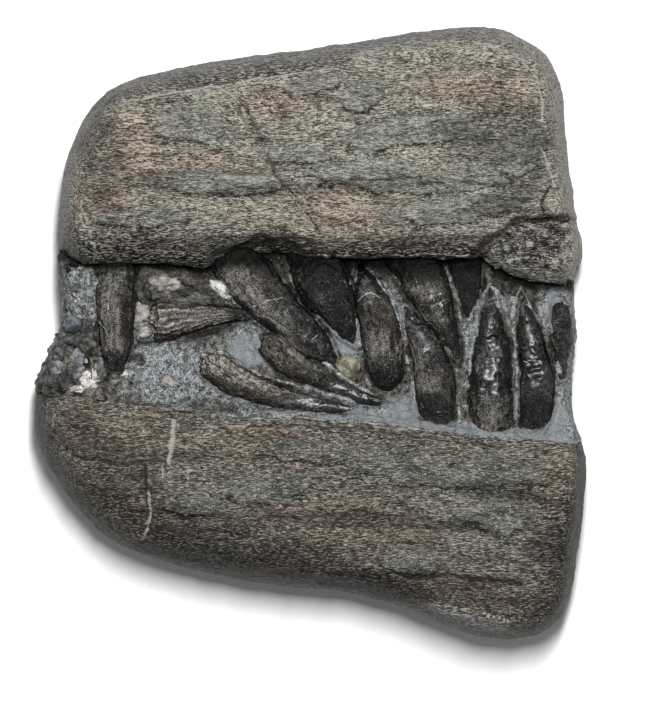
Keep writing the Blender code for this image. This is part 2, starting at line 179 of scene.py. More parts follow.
# Teeth: the line each one follows from root to tip, its width there, and how it has lasted
TEETH = {
    "blunt_tooth": {
        "line": [(-70.2, 30), (-70.2, 12), (-70.3, -2), (-71, -14.6)], "widths": [15, 14.6, 13.2, 8.0],
        "crown": 1.1, "brown": (0.45, 0.85), "lumps": 0.75, "skirt": 0.8, "groove": 0.6,
        "pale": 1.2, "breaks": [(0.5, 0.5), (0.9, 0.3)],
    },
    "great_tooth": {
        "line": [(-31, 32), (-24, 21.5), (-15.5, 12.1), (-5.8, 2.7), (2.5, -5.2), (8.8, -11.2)],
        "widths": [20, 20.5, 19, 16, 12.4, 5.0],
        "crown": 0.72, "brown": (0.0, 0.42), "lumps": 0.8, "skirt": 0.8, "groove": 0.9,
        "pale": 1.15, "breaks": [(0.33, 0.7), (0.8, 0.5)],
    },
    "second_tooth": {
        "line": [(-1.5, 32), (4, 19.3), (9, 10.3), (13.3, 3.1), (16.9, -4)],
        "widths": [23, 21, 17, 12, 4.0],
        "crown": 1.1, "brown": (0.0, 0.0), "lumps": 0.8, "skirt": 0.6, "groove": 0.9,
        "pale": 0.95, "breaks": [(0.5, 0.6)],
    },
    "third_tooth": {
        "line": [(33, 32), (40.7, 18.5), (45.7, 8.5), (50, -1.6), (53, -10)],
        "widths": [19, 17.6, 14, 8.6, 2.4],
        "crown": 0.75, "brown": (0.36, 0.62), "lumps": 0.55, "skirt": 0.8, "groove": 0.8,
        "pale": 0.6, "breaks": [(0.4, 0.5), (0.66, 0.5)],
    },
    "short_tooth": {
        "line": [(55, 32), (56.6, 17.5), (57.2, 5.4)], "widths": [15, 11.6, 2.6],
        "crown": 1.1, "brown": (0.0, 0.3), "lumps": 0.8, "skirt": 0.6, "groove": 0.8,
        "pale": 0.75, "breaks": [(0.4, 0.5)],
    },
    "end_tooth": {
        "line": [(89.6, 11), (90.2, 4.5), (90.6, -5), (90.6, -16.5)], "widths": [5, 8, 8, 3.4],
        "crown": 1.1, "brown": (0.0, 0.0), "lumps": 0.7, "chipped": (0.3, 0.7), "skirt": 0.6, "groove": 0.4,
        "pale": 0.7, "breaks": [(0.3, 0.6), (0.62, 0.6)],
    },
    "slanting_tooth": {
        "line": [(45.4, -38), (45, -24.7), (44.3, -15.3), (42.1, -6.7), (38.2, 1.6), (34, 9.7)],
        "widths": [14, 15.6, 15.4, 13.6, 9.6, 2.0],
        "crown": 0.6, "brown": (0.36, 0.5), "lumps": 0.5, "skirt": 1.4, "groove": 0.2, "halo": 0.7,
        "pale": 1.1, "breaks": [(0.57, 0.4), (0.86, 0.4)],
    },
    "tall_tooth": {
        "line": [
            (65.9, -39), (65.4, -32.9), (65.2, -22), (65.2, -11.3), (65.2, -1.6), (64.8, 8.5), (64, 16.4),
        ],
        "widths": [15, 17.4, 17.8, 16.4, 13.2, 8.8, 2.0],
        "crown": 0.28, "brown": (0.0, 0.2), "lumps": 0.9, "chipped": (0.26, 0.68),
        "skirt": 1.2, "groove": 0.2, "halo": 0.8,
        "pale": 0.7, "breaks": [(0.69, 1.3), (0.33, 0.6)],
    },
    "narrow_tooth": {
        "line": [
            (79.8, -36), (81, -28.3), (81.7, -19.6), (80.6, -9.5), (78.8, -0.5), (77.4, 7.7), (75.6, 14.8),
        ],
        "widths": [12, 13.8, 14.2, 12.6, 10.8, 7.8, 2.0],
        "crown": 0.3, "brown": (0.0, 0.1), "lumps": 0.45, "chipped": (0.36, 0.52),
        "skirt": 1.4, "groove": 0.2, "halo": 0.8,
        "pale": 0.45, "breaks": [(0.78, 0.7), (0.52, 0.7), (0.4, 0.4)],
    },
    "loose_tooth_long": {
        "line": [
            (-41.5, -8.3), (-32, -13.9), (-23.4, -18.9), (-14, -22.6), (-4, -25), (5.4, -26.4), (14.2, -27.2),
        ],
        "widths": [9, 12.8, 12, 10.2, 8.4, 6.6, 3.2],
        "crown": 0.6, "brown": (0.0, 0.55), "lumps": 0.8, "skirt": 1.6, "groove": 0.3, "halo": 0.4,
        "torn": 3.4,
        "pale": 3.3, "breaks": [(0.12, 0.6), (0.3, 0.5)],
    },
    "loose_tooth_short": {
        "line": [
            (-18.6, 0.8), (-12.2, -6.3), (-5.4, -11.7), (2.2, -16), (10.8, -20), (18.7, -23.2), (25.6, -24.9),
        ],
        "widths": [8.6, 11, 11, 9.6, 7.4, 6, 3.4],
        "crown": 0.6, "brown": (0.0, 0.45), "lumps": 0.7, "skirt": 1.4, "groove": 0.4, "halo": 0.4,
        "torn": 3.0,
        "pale": 1.7, "breaks": [(0.3, 0.5), (0.55, 0.5)],
    },
    "loose_tooth_upright": {
        "line": [(28, -21), (26.6, -11.3), (25.6, -2.3), (23.4, 6.7), (20.4, 15.7), (18, 24.6)],
        "widths": [9, 14.6, 15.8, 14.6, 11.2, 3.0],
        "crown": 0.66, "brown": (0.3, 0.66), "lumps": 0.35, "skirt": 1.2, "groove": 0.3, "halo": 0.9,
        "breaks": [(0.7, 0.8)],
    },
    "loose_root": {
        "line": [(-59.6, 4), (-50.8, 4.9), (-41.8, 5.9), (-31, 6.7), (-20, 6.5)],
        "widths": [14.8, 13, 9.2, 5.2, 2.4],
        "crown": 1.1, "brown": (0.0, 0.4), "lumps": 1.1, "skirt": 0.2, "groove": 1.2, "ribbed": 0.05,
        "torn": 3.6,
        "pale": 2.5, "breaks": [(0.08, -0.8), (0.3, 0.5)],
    },
}

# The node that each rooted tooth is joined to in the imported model
REPLACED_NODE = {
    "blunt_tooth": "upper_jaw", "great_tooth": "upper_jaw", "second_tooth": "upper_jaw",
    "third_tooth": "upper_jaw", "short_tooth": "upper_jaw", "end_tooth": "upper_jaw",
    "slanting_tooth": "lower_jaw", "tall_tooth": "lower_jaw", "narrow_tooth": "lower_jaw",
}
TOOTH_FLATNESS = 0.78
TOOTH_LIFT = 0.4
ROOT_DIVE = 4.0
LEDGE_DIVE = 5.0
LEDGE_WIDTH = 3.5
TIP_LIFT = 1.8

# Worn dusty tops of the teeth, a few of them painted highlights, and black patches, as soft patches: x, y,
# half length, half height, turn
DUST_AND_HIGHLIGHT_PATCHES = [
    (-24, 16.5, 15, 5.5, -42), (-9, 3, 10, 3.5, -42), (20, 13, 4, 4, 0), (23, -3, 5, 8, 75),
    (37, -8, 9, 4.5, -62), (42, -18, 5, 4, 0), (64.5, -29, 4, 8, 0), (63, -11, 5, 5, 0),
    (-29.5, -10.5, 12, 3.2, -38), (-9, -19.5, 12, 2.2, -16), (-3, -8, 10, 3.2, -40), (-46, 6, 15, 3.5, 0),
    (-73, 4, 5, 9, 0), (-71, -3, 5, 3.5, 0), (41, 16, 5, 5, -60), (46, 3, 5, 4, -60), (-44, 4, 15, 5, 0),
    (-30, -11, 13, 4, -38), (-38, -10, 5, 5, 0), (-40, 9, 17, 2.4, 3), (-71, 19, 7, 8, 0),
]
# The black patches are partly the teeth's own black and partly painted shadow under and beside them
BLACK_AND_SHADOW_PATCHES = [
    (1, -4, 12, 4.5, -48), (-3, 13, 14, 3, -48), (-16, 24, 10, 3, -20), (-22, -22.5, 18, 2.4, -22),
    (64.6, 0.7, 6, 1.3, 0), (-71, -10.5, 6, 4, 0), (43, -27, 7, 6, 0), (27, -17, 7, 5, 0),
    (50, -4, 4, 8, 20), (12, 6, 5, 12, 25), (2, -19.5, 14, 2, -28), (16, 2, 3, 8, 20),
    (-66, 8, 2.5, 14, 0), (-44, -0.4, 16, 2.2, 9), (57, 20, 6, 8, 0), (80, -6, 5, 14, 0),
    (81, -28, 6, 6, 0), (6, 22, 10, 8, 0), (14, 10, 5, 9, 0), (40, 22, 12, 4, 0), (53, 8, 4, 8, 0),
]

# Glossy enamel, as soft patches, with silvery wrinkles painted on it as a painted sheen
GLOSS_AND_SHEEN_PATCHES = [
    (64.4, 11, 3.4, 6.5, 0), (64.6, -11.5, 5, 8.5, 0), (77.6, 10, 3, 5.5, 8), (79.8, -4, 3.6, 7, 5),
    (37, 4, 3.4, 8, 32), (19, 18, 3, 6, 14), (47, 10, 3, 6, 25),
]

# Width of the painted shadow in the gap under the upper jaw's ledge, along X
GAP_WIDTH = [
    (-92, 2.6), (-45, 2.6), (-30, 5.0), (-8, 6.5), (8, 5.0), (18, 6.0), (40, 7.0), (58, 6.0), (66, 3.2),
    (100, 3.0),
]

# Rounded stones in the rock: centre and radii in plan, half height, colour
NODULES = {
    "nodule_round": ((13.1, -12.2), (4.5, 4.3), 3.6, (0.19, 0.18, 0.13)),
    "nodule_oval": ((54.6, -14.8), (2.1, 3.0), 2.3, (0.05, 0.052, 0.055)),
    "nodule_edge": ((-85.6, 3.2), (3.4, 3.2), 3.2, (0.085, 0.095, 0.11)),
}

# Films of rock, stains and brown zones on the bones: x, y, half length, half height, turn in degrees
UPPER_FILM = [
    (-43.5, 75.5, 14, 7, 0), (18, 86, 8, 5, 25), (2, 90, 12, 3, 8), (36, 72, 26, 5, 4),
    (30, 56, 34, 4.5, -3), (-33, 54, 24, 4, 0), (48, 44, 22, 5, 6), (70, 62, 14, 7, 30),
    (-5, 64, 10, 3, 0), (-60, 42, 16, 3, 2),
]
LOWER_FILM = [
    (-14, -55, 17, 6, 2), (37, -81.5, 14, 5, -4), (52, -50, 34, 5, -2), (10, -43, 30, 4, -3),
    (66, -66, 14, 5, -4), (-45, -62, 10, 4, 0),
]
# Stains on the upper jaw; the thin patches just above the ledge are painted shade along it
UPPER_STAIN_AND_LEDGE_SHADE = [
    (-32, 31, 26, 4, -4), (-76, 62, 9, 22, 0), (40, 32, 34, 4, 0), (72, 50, 14, 7, 35), (-60, 55, 14, 3, 0),
    (80, 66, 8, 10, 0), (66, 70, 20, 14, 0), (0, 52, 60, 2.5, 2), (-5, 31, 12, 4, 0), (-62, 32, 24, 4, 0),
]
LOWER_STAIN = [
    (-72, -50, 22, 12, -25), (-20, -80, 40, 8, -6), (85, -78, 8, 9, 0), (-74, -52, 14, 9, -35),
    (30, -68, 40, 3, -3), (-40, -72, 26, 8, -12), (66, -56, 16, 4, -5), (-50, -44, 24, 3, -2),
    (40, -92, 44, 6, -5), (-84, -36, 8, 8, 0),
]
UPPER_BROWN = [
    (-60, 71, 15, 12, 0), (-8, 84, 18, 7, 0), (-45, 60, 32, 6, 0), (6, 42, 38, 10, 0), (60, 90, 26, 9, -8),
    (-72, 45, 14, 12, 0), (-87, 50, 6, 14, 0),
]
LOWER_BROWN = [
    (-70, -36, 24, 10, -8), (-20, -40, 34, 6, -4), (-64, -62, 18, 10, -20), (20, -72, 30, 9, -8),
    (88, -52, 10, 12, 0), (60, -96, 26, 8, 0), (-10, -84, 26, 6, -6),
]

# The pale line round the upper jaw where its flat face ends and its scratched band begins, which is painted
# darker as darker bone and painted shade together
SHOULDER_LINE = [
    (-110, 62), (-84, 76), (-75.3, 82.3), (-58.5, 84.9), (-46.2, 87.1), (-33.8, 88.9), (-26.2, 90.4),
    (-8, 92.9), (6.9, 95.1), (20.4, 103.8), (30.9, 105.3), (42.2, 105.6), (52, 105.6), (62.5, 104.8),
    (69.5, 103.4), (76.4, 100.2), (81.8, 96.2), (86.2, 91.1), (100, 60),
]

# Clean blue-grey patches of the rock
CLEAN_ROCK = [
    (-44, -12, 19, 10, -10), (-22, -2, 7, 8, -30), (-12, -27, 16, 4, 4), (14, -2, 5, 9, 15),
    (30, -28, 14, 4, -6), (62, -34.5, 18, 3.2, -4), (88, -28, 9, 10, 0), (86, 9, 4, 10, 5),
    (-84, 15, 8, 10, 0), (-56, -6, 8, 9, 0), (-30, -20, 18, 5, -18), (70, 11, 7, 3, 0),
    (57, 0, 2.4, 11, 0), (-27, 15, 7, 4, -40), (48, -24, 3, 9, 0), (73.5, -18, 2.4, 14, 0),
    (6, -17, 16, 3, -30), (34, 6, 2.5, 12, 28), (17, 14, 2.5, 9, -12), (16, -25, 9, 4, -10),
    (92, -32, 8, 8, 0), (-60, -14, 8, 5, 0), (-50, -21, 17, 5, -4), (90, 11, 4, 6, 0), (89, -22, 6, 8, 0),
    (60, -20, 2.6, 14, 0), (6, -23, 12, 3.5, -20), (38, -24, 3, 9, 0),
]

# Smooth cut faces in the rock
SMOOTH_ROCK = [
    (12, -2, 4, 7, 25), (-22, -6, 7, 6, -30), (34, -28, 6, 5, 0), (88, 8, 3, 9, 5), (88, -30, 6, 6, 0),
]

# Broken, lumpy patches of bone
ROUGH_BREAKS = [(80, 30, 20, 11, 0), (84, 62, 6, 9, 0), (-20, 31, 17, 4, 0), (84, -104, 12, 5, 20)]

# Veins of calcite in the bones: their lines in plan and half widths
UPPER_VEINS = [
    ([(-82, 76), (-75.3, 82.3), (-58.5, 84.9), (-46.2, 87.1), (-33.8, 88.9), (-29, 86)], 0.5),
    ([(-26, 90.4), (-8, 92.9), (8, 95.4)], 0.34),
    ([(20, 103.4), (32, 105.2), (46, 105.6), (60, 105)], 0.4),
    ([(60, 105), (69.5, 102.4), (76, 98.5), (81, 92), (83.4, 84), (83, 76)], 0.5),
    ([(83, 66), (86, 58), (88.6, 50)], 0.4), ([(-28, 85.6), (-24.5, 81), (-22, 77.6)], 0.45),
    ([(-17.2, 69), (-15.6, 65)], 0.35), ([(-8.6, 51.4), (-4.6, 46.8), (-1.5, 42), (1.4, 38.5)], 0.32),
    ([(-82.9, 46.7), (-81.1, 41.3), (-79.3, 34), (-77.4, 30.4)], 0.5),
    ([(-90, 32.9), (-86.9, 29.5), (-83.3, 26.1)], 0.5), ([(-62, 70.5), (-56, 72.4), (-47, 76)], 0.26),
    ([(66, 24), (76, 27.5), (88, 26)], 0.5), ([(70, 30), (78, 31.5), (84, 35)], 0.4),
    ([(60, 27), (64, 29.5), (70, 34)], 0.4), ([(73, 21), (82, 22), (92, 20)], 0.35),
    ([(-3, 28.5), (20, 27.6), (40, 28.2), (58, 28)], 0.24),
]
LOWER_VEINS = [
    ([(-49.3, -31.5), (-49.7, -37.5), (-51, -46.7)], 0.85), ([(-53.4, -48.5), (-53, -52)], 0.5),
    ([(-58.4, -56.8), (-57.5, -66), (-60, -72.2), (-61.5, -75.8)], 0.6),
    ([(-92.4, -28.5), (-93.4, -33.3)], 0.5), ([(-24, -30.6), (-4, -29.8), (12, -31), (40, -34.6)], 0.3),
    ([(30, -96), (45, -98), (59, -99.6), (72, -104)], 0.4),
]

# Veins of calcite on the teeth: the tooth each lies on, its line in plan, its width
TOOTH_VEINS = [
    ("great_tooth", [(-22.5, 8.9), (-16, 11.2), (-10, 13.3)], 0.42),
    ("great_tooth", [(0.2, -2.6), (2.6, 0.2)], 0.4),
    ("third_tooth", [(43.2, 9.3), (46, 10.8), (49, 12.4)], 0.34),
    ("blunt_tooth", [(-73.2, 12.4), (-73, 6)], 0.34),
    ("blunt_tooth", [(-76.4, 4.6), (-74.2, 1), (-73, -1)], 0.34),
    ("narrow_tooth", [(76.7, -9.8), (78.8, -10.6)], 0.6),
    ("narrow_tooth", [(78, -14.8), (79.8, -15.8)], 0.6),
    ("loose_tooth_upright", [(16.6, 11.5), (20.8, 14.6), (25.4, 12.6)], 0.6),
]


class FossilJawSizes(PropertyGroup):
    face_height: FloatProperty(
        name="Face height", description="Height of the jaw bones' worn faces above the floor",
        default=0.0588, unit="LENGTH",
    )
    fibre_relief: FloatProperty(
        name="Fibre relief", description="Depth of the bone's long fibres",
        default=0.00055, unit="LENGTH", precision=5,
    )
    rock_relief: FloatProperty(
        name="Rock relief", description="Roughness of the cut-back rock between the jaws",
        default=0.0009, unit="LENGTH", precision=5,
    )
    rim_width: FloatProperty(
        name="Rim width", description="How fast the crests of rock between the teeth fall away to each side",
        default=0.0013, unit="LENGTH", precision=5,
    )
    crumbs: IntProperty(
        name="Crumbs", description="Number of small broken pieces held in the rock at the left end",
        default=60,
    )


def colour_property(name, description, default):
    return FloatVectorProperty(
        name=name, description=description, subtype="COLOR", size=3, min=0, max=1, default=default
    )


class FossilJawColours(PropertyGroup):
    bone_brown: colour_property("Bone brown", "Warm brown of the weathered bone", (0.184, 0.155, 0.126))
    bone_grey: colour_property("Bone grey", "Olive grey of the mineralised bone", (0.170, 0.165, 0.138))
    bone_dark: colour_property("Bone dark", "Near-black gaps between the fibres", (0.018, 0.016, 0.014))
    bone_cream: colour_property("Bone cream", "Pale specks and fibre tips", (0.420, 0.395, 0.335))
    broken_bone: colour_property("Broken bone", "Dark grey of the broken corner", (0.046, 0.045, 0.043))
    bone_side: colour_property("Bone side", "Smooth worn sides of the bones", (0.086, 0.084, 0.082))
    film: colour_property("Rock film", "Thin skin of rock left on the bone", (0.128, 0.134, 0.118))
    rust: colour_property("Rust", "Reddish-brown iron stain", (0.140, 0.096, 0.068))
    rock_blue: colour_property("Rock blue-grey", "Clean cut rock between the teeth", (0.200, 0.214, 0.220))
    rock_dark: colour_property("Rock dark", "Dark crumbly rock", (0.040, 0.038, 0.034))
    tooth_dark: colour_property("Tooth black", "Mineralised tooth", (0.010, 0.010, 0.010))
    tooth_dust_and_highlight: colour_property("Tooth dust", "Grey-brown worn tops of the teeth", (0.120, 0.112, 0.100))
    tooth_brown: colour_property("Tooth brown", "Brown of the roots", (0.076, 0.062, 0.046))
    calcite: colour_property("Calcite", "White veins and flecks", (0.368, 0.360, 0.328))
    floor: colour_property("Floor", "Pale studio floor", (0.95, 0.95, 0.95))


# Colours that only one finish uses
PALE_ROCK = (0.24, 0.245, 0.235)
CRACK_BLACK = (0.016, 0.010, 0.008)
CRUMB_BROWN = (0.105, 0.098, 0.085)
CREST_GREY = (0.27, 0.28, 0.275)
CUT_ROCK = (0.215, 0.230, 0.240)
PIT_BLACK = (0.010, 0.009, 0.008)
TOOTH_CLOUD = (0.034, 0.032, 0.031)
TOOTH_SCUFF = (0.21, 0.205, 0.19)
TOOTH_CRACK = (0.20, 0.18, 0.15)
PAINTED_ENAMEL_SHEEN = (0.105, 0.110, 0.115)
VEIN_GRAIN = (0.11, 0.10, 0.085)


def sizes():
    return bpy.context.scene.fossil_jaw_sizes


def colours():
    return bpy.context.scene.fossil_jaw_colours


# The shape of the stone


def smooth_outline(points):
    """Points read from a closed Bezier curve with automatic handles through the given ones."""
    curve = bpy.data.curves.new("outline", "CURVE")
    curve.resolution_u = 12
    spline = curve.splines.new("BEZIER")
    spline.bezier_points.add(len(points) - 1)
    spline.use_cyclic_u = True
    for bezier, (x, y) in zip(spline.bezier_points, points):
        bezier.co = (x, y, 0)
        bezier.handle_left_type = bezier.handle_right_type = "AUTO"
    guide = bpy.data.objects.new("outline", curve)
    bpy.context.collection.objects.link(guide)
    mesh = guide.to_mesh()
    line = np.array([vertex.co[:2] for vertex in mesh.vertices])
    guide.to_mesh_clear()
    bpy.data.objects.remove(guide)
    bpy.data.curves.remove(curve)
    return line


def fractal(points, size, octaves=3, seed=0.0):
    """Smooth noise of about -1 to 1 at each point. size is that of its lumps in mm, one or three numbers."""
    scaled = (np.asarray(points, float) / size + seed).tolist()
    return np.array([noise.fractal(point, 1.0, 2.0, octaves) for point in scaled])


def soft_step(value, start, end):
    share = np.clip((value - start) / (end - start), 0, 1)
    return share * share * (3 - 2 * share)


def edge_y(edge, x):
    xs, ys = zip(*edge)
    return np.interp(x, xs, ys)


def gap_light(x, y):
    """0 in the black gap under the upper jaw's ledge, 1 where light reaches the rock again."""
    width = np.interp(x, *zip(*GAP_WIDTH))
    below = edge_y(UPPER_EDGE, x) - y
    return np.clip((below - 0.4 * width) / (0.75 * width), 0, 1) ** 1.5


def patches(x, y, spots, softness=0.35):
    """1 inside any of the turned ellipses and 0 well outside them."""
    found = np.zeros_like(x)
    for spot_x, spot_y, length, height, turn in spots:
        cos, sin = math.cos(math.radians(turn)), math.sin(math.radians(turn))
        along = ((x - spot_x) * cos + (y - spot_y) * sin) / length
        across = (-(x - spot_x) * sin + (y - spot_y) * cos) / height
        found = np.maximum(found, 1 - soft_step(np.hypot(along, across), 1 - softness, 1 + softness))
    return found


def distance_to_line(x, y, line):
    """Distance in plan from each point to a bent line."""
    best = np.full(x.shape, 1e9)
    for (ax, ay), (bx, by) in zip(line, line[1:]):
        length = math.hypot(bx - ax, by - ay)
        share = np.clip(((x - ax) * (bx - ax) + (y - ay) * (by - ay)) / length**2, 0, 1)
        best = np.minimum(best, np.hypot(x - ax - share * (bx - ax), y - ay - share * (by - ay)))
    return best


class Stone:
    """The whole stone as two surfaces over its plan, a front and a back, that meet at its outline."""

    def __init__(self):
        self.outline = smooth_outline(OUTLINE)
        angles = np.degrees(np.arctan2(self.outline[:, 1], self.outline[:, 0]))
        order = np.argsort(angles)
        self.angles = angles[order]
        self.radii = np.hypot(self.outline[:, 0], self.outline[:, 1])[order]
        low = self.outline.min(axis=0)
        self.shift = np.array([CAD_BOX[0][0] / MM - low[0], CAD_BOX[0][1] / MM - low[1], 0.0])

    def rounding(self, x, y):
        """Distance in from the outline, the width that rounds over, and the reach of the flat."""
        angle = np.degrees(np.arctan2(y, x))
        radius = np.interp(angle, self.angles, self.radii, period=360)
        width = np.interp(angle, *zip(*SHOULDER_WIDTH), period=360)
        return np.clip(radius - np.hypot(x, y), 0, None), width, radius

    def rise(self, inset, width):
        """How far a rounded edge has risen at this inset, from 0 to 1, and its tilt in degrees."""
        cos = np.clip(1 - inset / width, 0, 1) ** (1 / SHOULDER_POWER)
        return np.sqrt(1 - cos * cos) ** SHOULDER_POWER, np.degrees(np.arccos(cos))

    def face(self, x, y):
        """Height of the worn front face of both jaw bones."""
        crown_y = np.where(y > 0, UPPER_CROWN_Y, LOWER_CROWN_Y)
        fall = np.where(y > 0, UPPER_FALL, LOWER_FALL)
        away = np.minimum(np.abs(y - crown_y) / CROWN_REACH, 1.3)
        spots = zip((x / SWELL_SIZE).tolist(), (y / SWELL_SIZE).tolist())
        swell = np.array([noise.noise((a, b, 0)) for a, b in spots])
        return sizes().face_height / MM - fall * away**2 + SWELL_DEPTH * swell

    def front(self, x, y):
        inset, width, _ = self.rounding(x, y)
        rise, _ = self.rise(inset, width)
        return WAIST_HEIGHT + rise * (self.face(x, y) - WAIST_HEIGHT)

    def back(self, x, y):
        inset, width, radius = self.rounding(x, y)
        rise, tilt = self.rise(inset, width)
        flat = FLAT_SHARE * (radius - inset) / (radius - width)
        turned_under = np.clip(FLAT_SHARE + (1 - FLAT_SHARE) * (90 - tilt) / 45, 0, 1)
        share = np.where(inset >= width, flat, turned_under)
        outside = np.maximum(share / REST_SHARE - 1, 0) * REST_SHARE / (1 - REST_SHARE)
        return WAIST_HEIGHT - rise * (WAIST_HEIGHT - BACK_LIFT * outside**2)


def bed_plane(x, y):
    """Height of the cut-back rock without its lumps and edges. The teeth lie half sunk in it."""
    upper, lower = edge_y(UPPER_EDGE, x), edge_y(LOWER_EDGE, x)
    across = np.clip((upper - y) / (upper - lower), 0, 1)
    rise = BED_LEFT_RISE * soft_step(-np.asarray(x, float), -BED_LEFT_X[0], -BED_LEFT_X[1])
    trough = TROUGH_DEPTH * np.exp(-np.maximum(upper - y, 0) / TROUGH_WIDTH)
    return BED_UPPER_HEIGHT + across * (BED_LOWER_HEIGHT - BED_UPPER_HEIGHT) + rise - trough


def bed_height(x, y):
    """Height of the cut-back rock with its lumps, holes and the fillet along the lower jaw."""
    height = bed_plane(x, y)
    height = height + FILLET_HEIGHT * np.exp(-np.maximum(y - edge_y(LOWER_EDGE, x), 0) / FILLET_WIDTH)
    for lump_x, lump_y, size, rise in BED_LUMPS:
        height += rise * np.exp(-((x - lump_x) ** 2 + (y - lump_y) ** 2) / size**2)
    for hole_x, hole_y, size, depth in BED_HOLES:
        height -= depth * np.exp(-(((x - hole_x) ** 2 + (y - hole_y) ** 2) / size**2) ** 2)
    return height


def tooth_stations(name, count):
    """Centre points and half widths at even steps along a tooth, on a smooth line through its points."""
    plan = np.array(TEETH[name]["line"], float)
    widths = np.array(TEETH[name]["widths"], float)
    x, y = plan[:, 0], plan[:, 1]
    from_lower = np.maximum(y - edge_y(LOWER_EDGE, x), 0)
    from_upper = np.maximum(edge_y(UPPER_EDGE, x) - y, 0)
    z = bed_plane(x, y) + TOOTH_LIFT - LEDGE_DIVE * np.exp(-from_upper / LEDGE_WIDTH)
    if name in ("loose_tooth_long", "loose_tooth_short"):
        z = z + FILLET_HEIGHT * np.exp(-from_lower / FILLET_WIDTH) + TIP_LIFT * np.linspace(0, 1, len(x)) ** 2
    else:
        z = z - ROOT_DIVE * np.exp(-from_lower / FILLET_WIDTH)
    return smooth_line(np.column_stack([x, y, z]), widths / 2, count)


def smooth_line(points, radii, count):
    """A cubic line through the points, read at even distances, with the radii eased between them."""
    rows = np.column_stack([points, radii])
    padded = np.vstack([2 * rows[0] - rows[1], rows, 2 * rows[-1] - rows[-2]])
    fine = []
    for start in range(len(rows) - 1):
        before, here, there, after = padded[start : start + 4]
        for step in np.linspace(0, 1, 24, endpoint=start == len(rows) - 2):
            fine.append(
                0.5
                * (
                    2 * here
                    + (there - before) * step
                    + (2 * before - 5 * here + 4 * there - after) * step**2
                    + (3 * here - before - 3 * there + after) * step**3
                )
            )
    fine = np.array(fine)
    steps = np.linalg.norm(np.diff(fine[:, :3], axis=0), axis=1)
    travelled = np.concatenate([[0], np.cumsum(steps)])
    wanted = np.linspace(0, travelled[-1], count)
    even = np.column_stack([np.interp(wanted, travelled, fine[:, column]) for column in range(4)])
    return even[:, :3], np.clip(even[:, 3], 0.15, None)


# Making and finishing meshes


def deselect_all():
    if bpy.context.object and bpy.context.object.mode != "OBJECT":
        bpy.ops.object.mode_set(mode="OBJECT")
    bpy.ops.object.select_all(action="DESELECT")


def read_points(obj):
    flat = np.empty(len(obj.data.vertices) * 3)
    obj.data.vertices.foreach_get("co", flat)
    return flat.reshape(-1, 3)


def write_points(obj, points):
    obj.data.vertices.foreach_set("co", np.ascontiguousarray(points, float).ravel())
    obj.data.update()


def read_normals(obj):
    obj.data.update()
    flat = np.empty(len(obj.data.vertices) * 3)
    obj.data.vertex_normals.foreach_get("vector", flat)
    return flat.reshape(-1, 3)


def store(obj, name, values):
    """Keeps one number per vertex for the piece's material to read."""
    attribute = obj.data.attributes.new(name, "FLOAT", "POINT")
    attribute.data.foreach_set("value", np.ascontiguousarray(values, float))


def store_relief(obj, rounds=5):
    """Keeps how far each vertex stands above its surroundings, in mm, for painted light on crests and painted
    shade in hollows.
    """
    points = read_points(obj)
    ends = np.empty(len(obj.data.edges) * 2, dtype=np.int32)
    obj.data.edges.foreach_get("vertices", ends)
    first, second = ends.reshape(-1, 2).T
    count = np.bincount(first, minlength=len(points)) + np.bincount(second, minlength=len(points))
    eased = points
    for _ in range(rounds):
        sums = [
            np.bincount(first, eased[second, axis], len(points))
            + np.bincount(second, eased[first, axis], len(points))
            for axis in range(3)
        ]
        eased = np.column_stack(sums) / count[:, None]
    store(obj, "raised", ((points - eased) * read_normals(obj)).sum(axis=1))


def select_where(obj, test_edge=None, test_face=None):
    """In edit mode: selects only the edges or faces that pass the test."""
    mesh = bmesh.from_edit_mesh(obj.data)
    for element in (*mesh.verts, *mesh.edges, *mesh.faces):
        element.select = False
    if test_edge:
        bpy.context.tool_settings.mesh_select_mode = (False, True, False)
        for edge in mesh.edges:
            if test_edge(edge):
                edge.select_set(True)
    else:
        bpy.context.tool_settings.mesh_select_mode = (False, False, True)
        for face in mesh.faces:
            if test_face(face):
                face.select_set(True)
    bmesh.update_edit_mesh(obj.data)


def make_slab(name, cells_x, cells_y, cells_z):
    """A closed slab of even cells from -1 to 1 each way, with its front divided once more."""
    deselect_all()
    bpy.ops.mesh.primitive_grid_add(
        x_subdivisions=cells_x, y_subdivisions=cells_y, size=2, location=(0, 0, 1)
    )
    slab = bpy.context.object
    slab.name = slab.data.name = name
    bpy.ops.object.transform_apply(location=True)
    bpy.ops.object.mode_set(mode="EDIT")
    bpy.ops.mesh.select_all(action="SELECT")
    bpy.ops.mesh.extrude_region_move(TRANSFORM_OT_translate={"value": (0, 0, -2)})
    select_where(slab, test_edge=lambda edge: abs(edge.verts[0].co.z - edge.verts[1].co.z) > 1)
    bpy.ops.mesh.subdivide(number_cuts=cells_z - 1)
    select_where(slab, test_face=lambda face: min(vert.co.z for vert in face.verts) > 0.999)
    bpy.ops.mesh.subdivide(number_cuts=1)
    bpy.ops.mesh.select_all(action="SELECT")
    bpy.ops.mesh.normals_make_consistent(inside=False)
    bpy.ops.object.mode_set(mode="OBJECT")
    return slab


def finish_piece(obj, node, material):
    """Scales a finished mesh from mm to metres, moves it to the model's place, shades it smooth, gives it its
    material, attaches it to the root body and hides the model's node that it replaces.
    """
    write_points(obj, (read_points(obj) + stone().shift) * MM)
    deselect_all()
    obj.select_set(True)
    bpy.context.view_layer.objects.active = obj
    bpy.ops.object.shade_smooth()
    obj.data.materials.clear()
    obj.data.materials.append(material)
    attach(obj, "root")
    if node:
        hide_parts(node)


_kept = {}


def stone():
    if "stone" not in _kept:
        _kept["stone"] = Stone()
    return _kept["stone"]


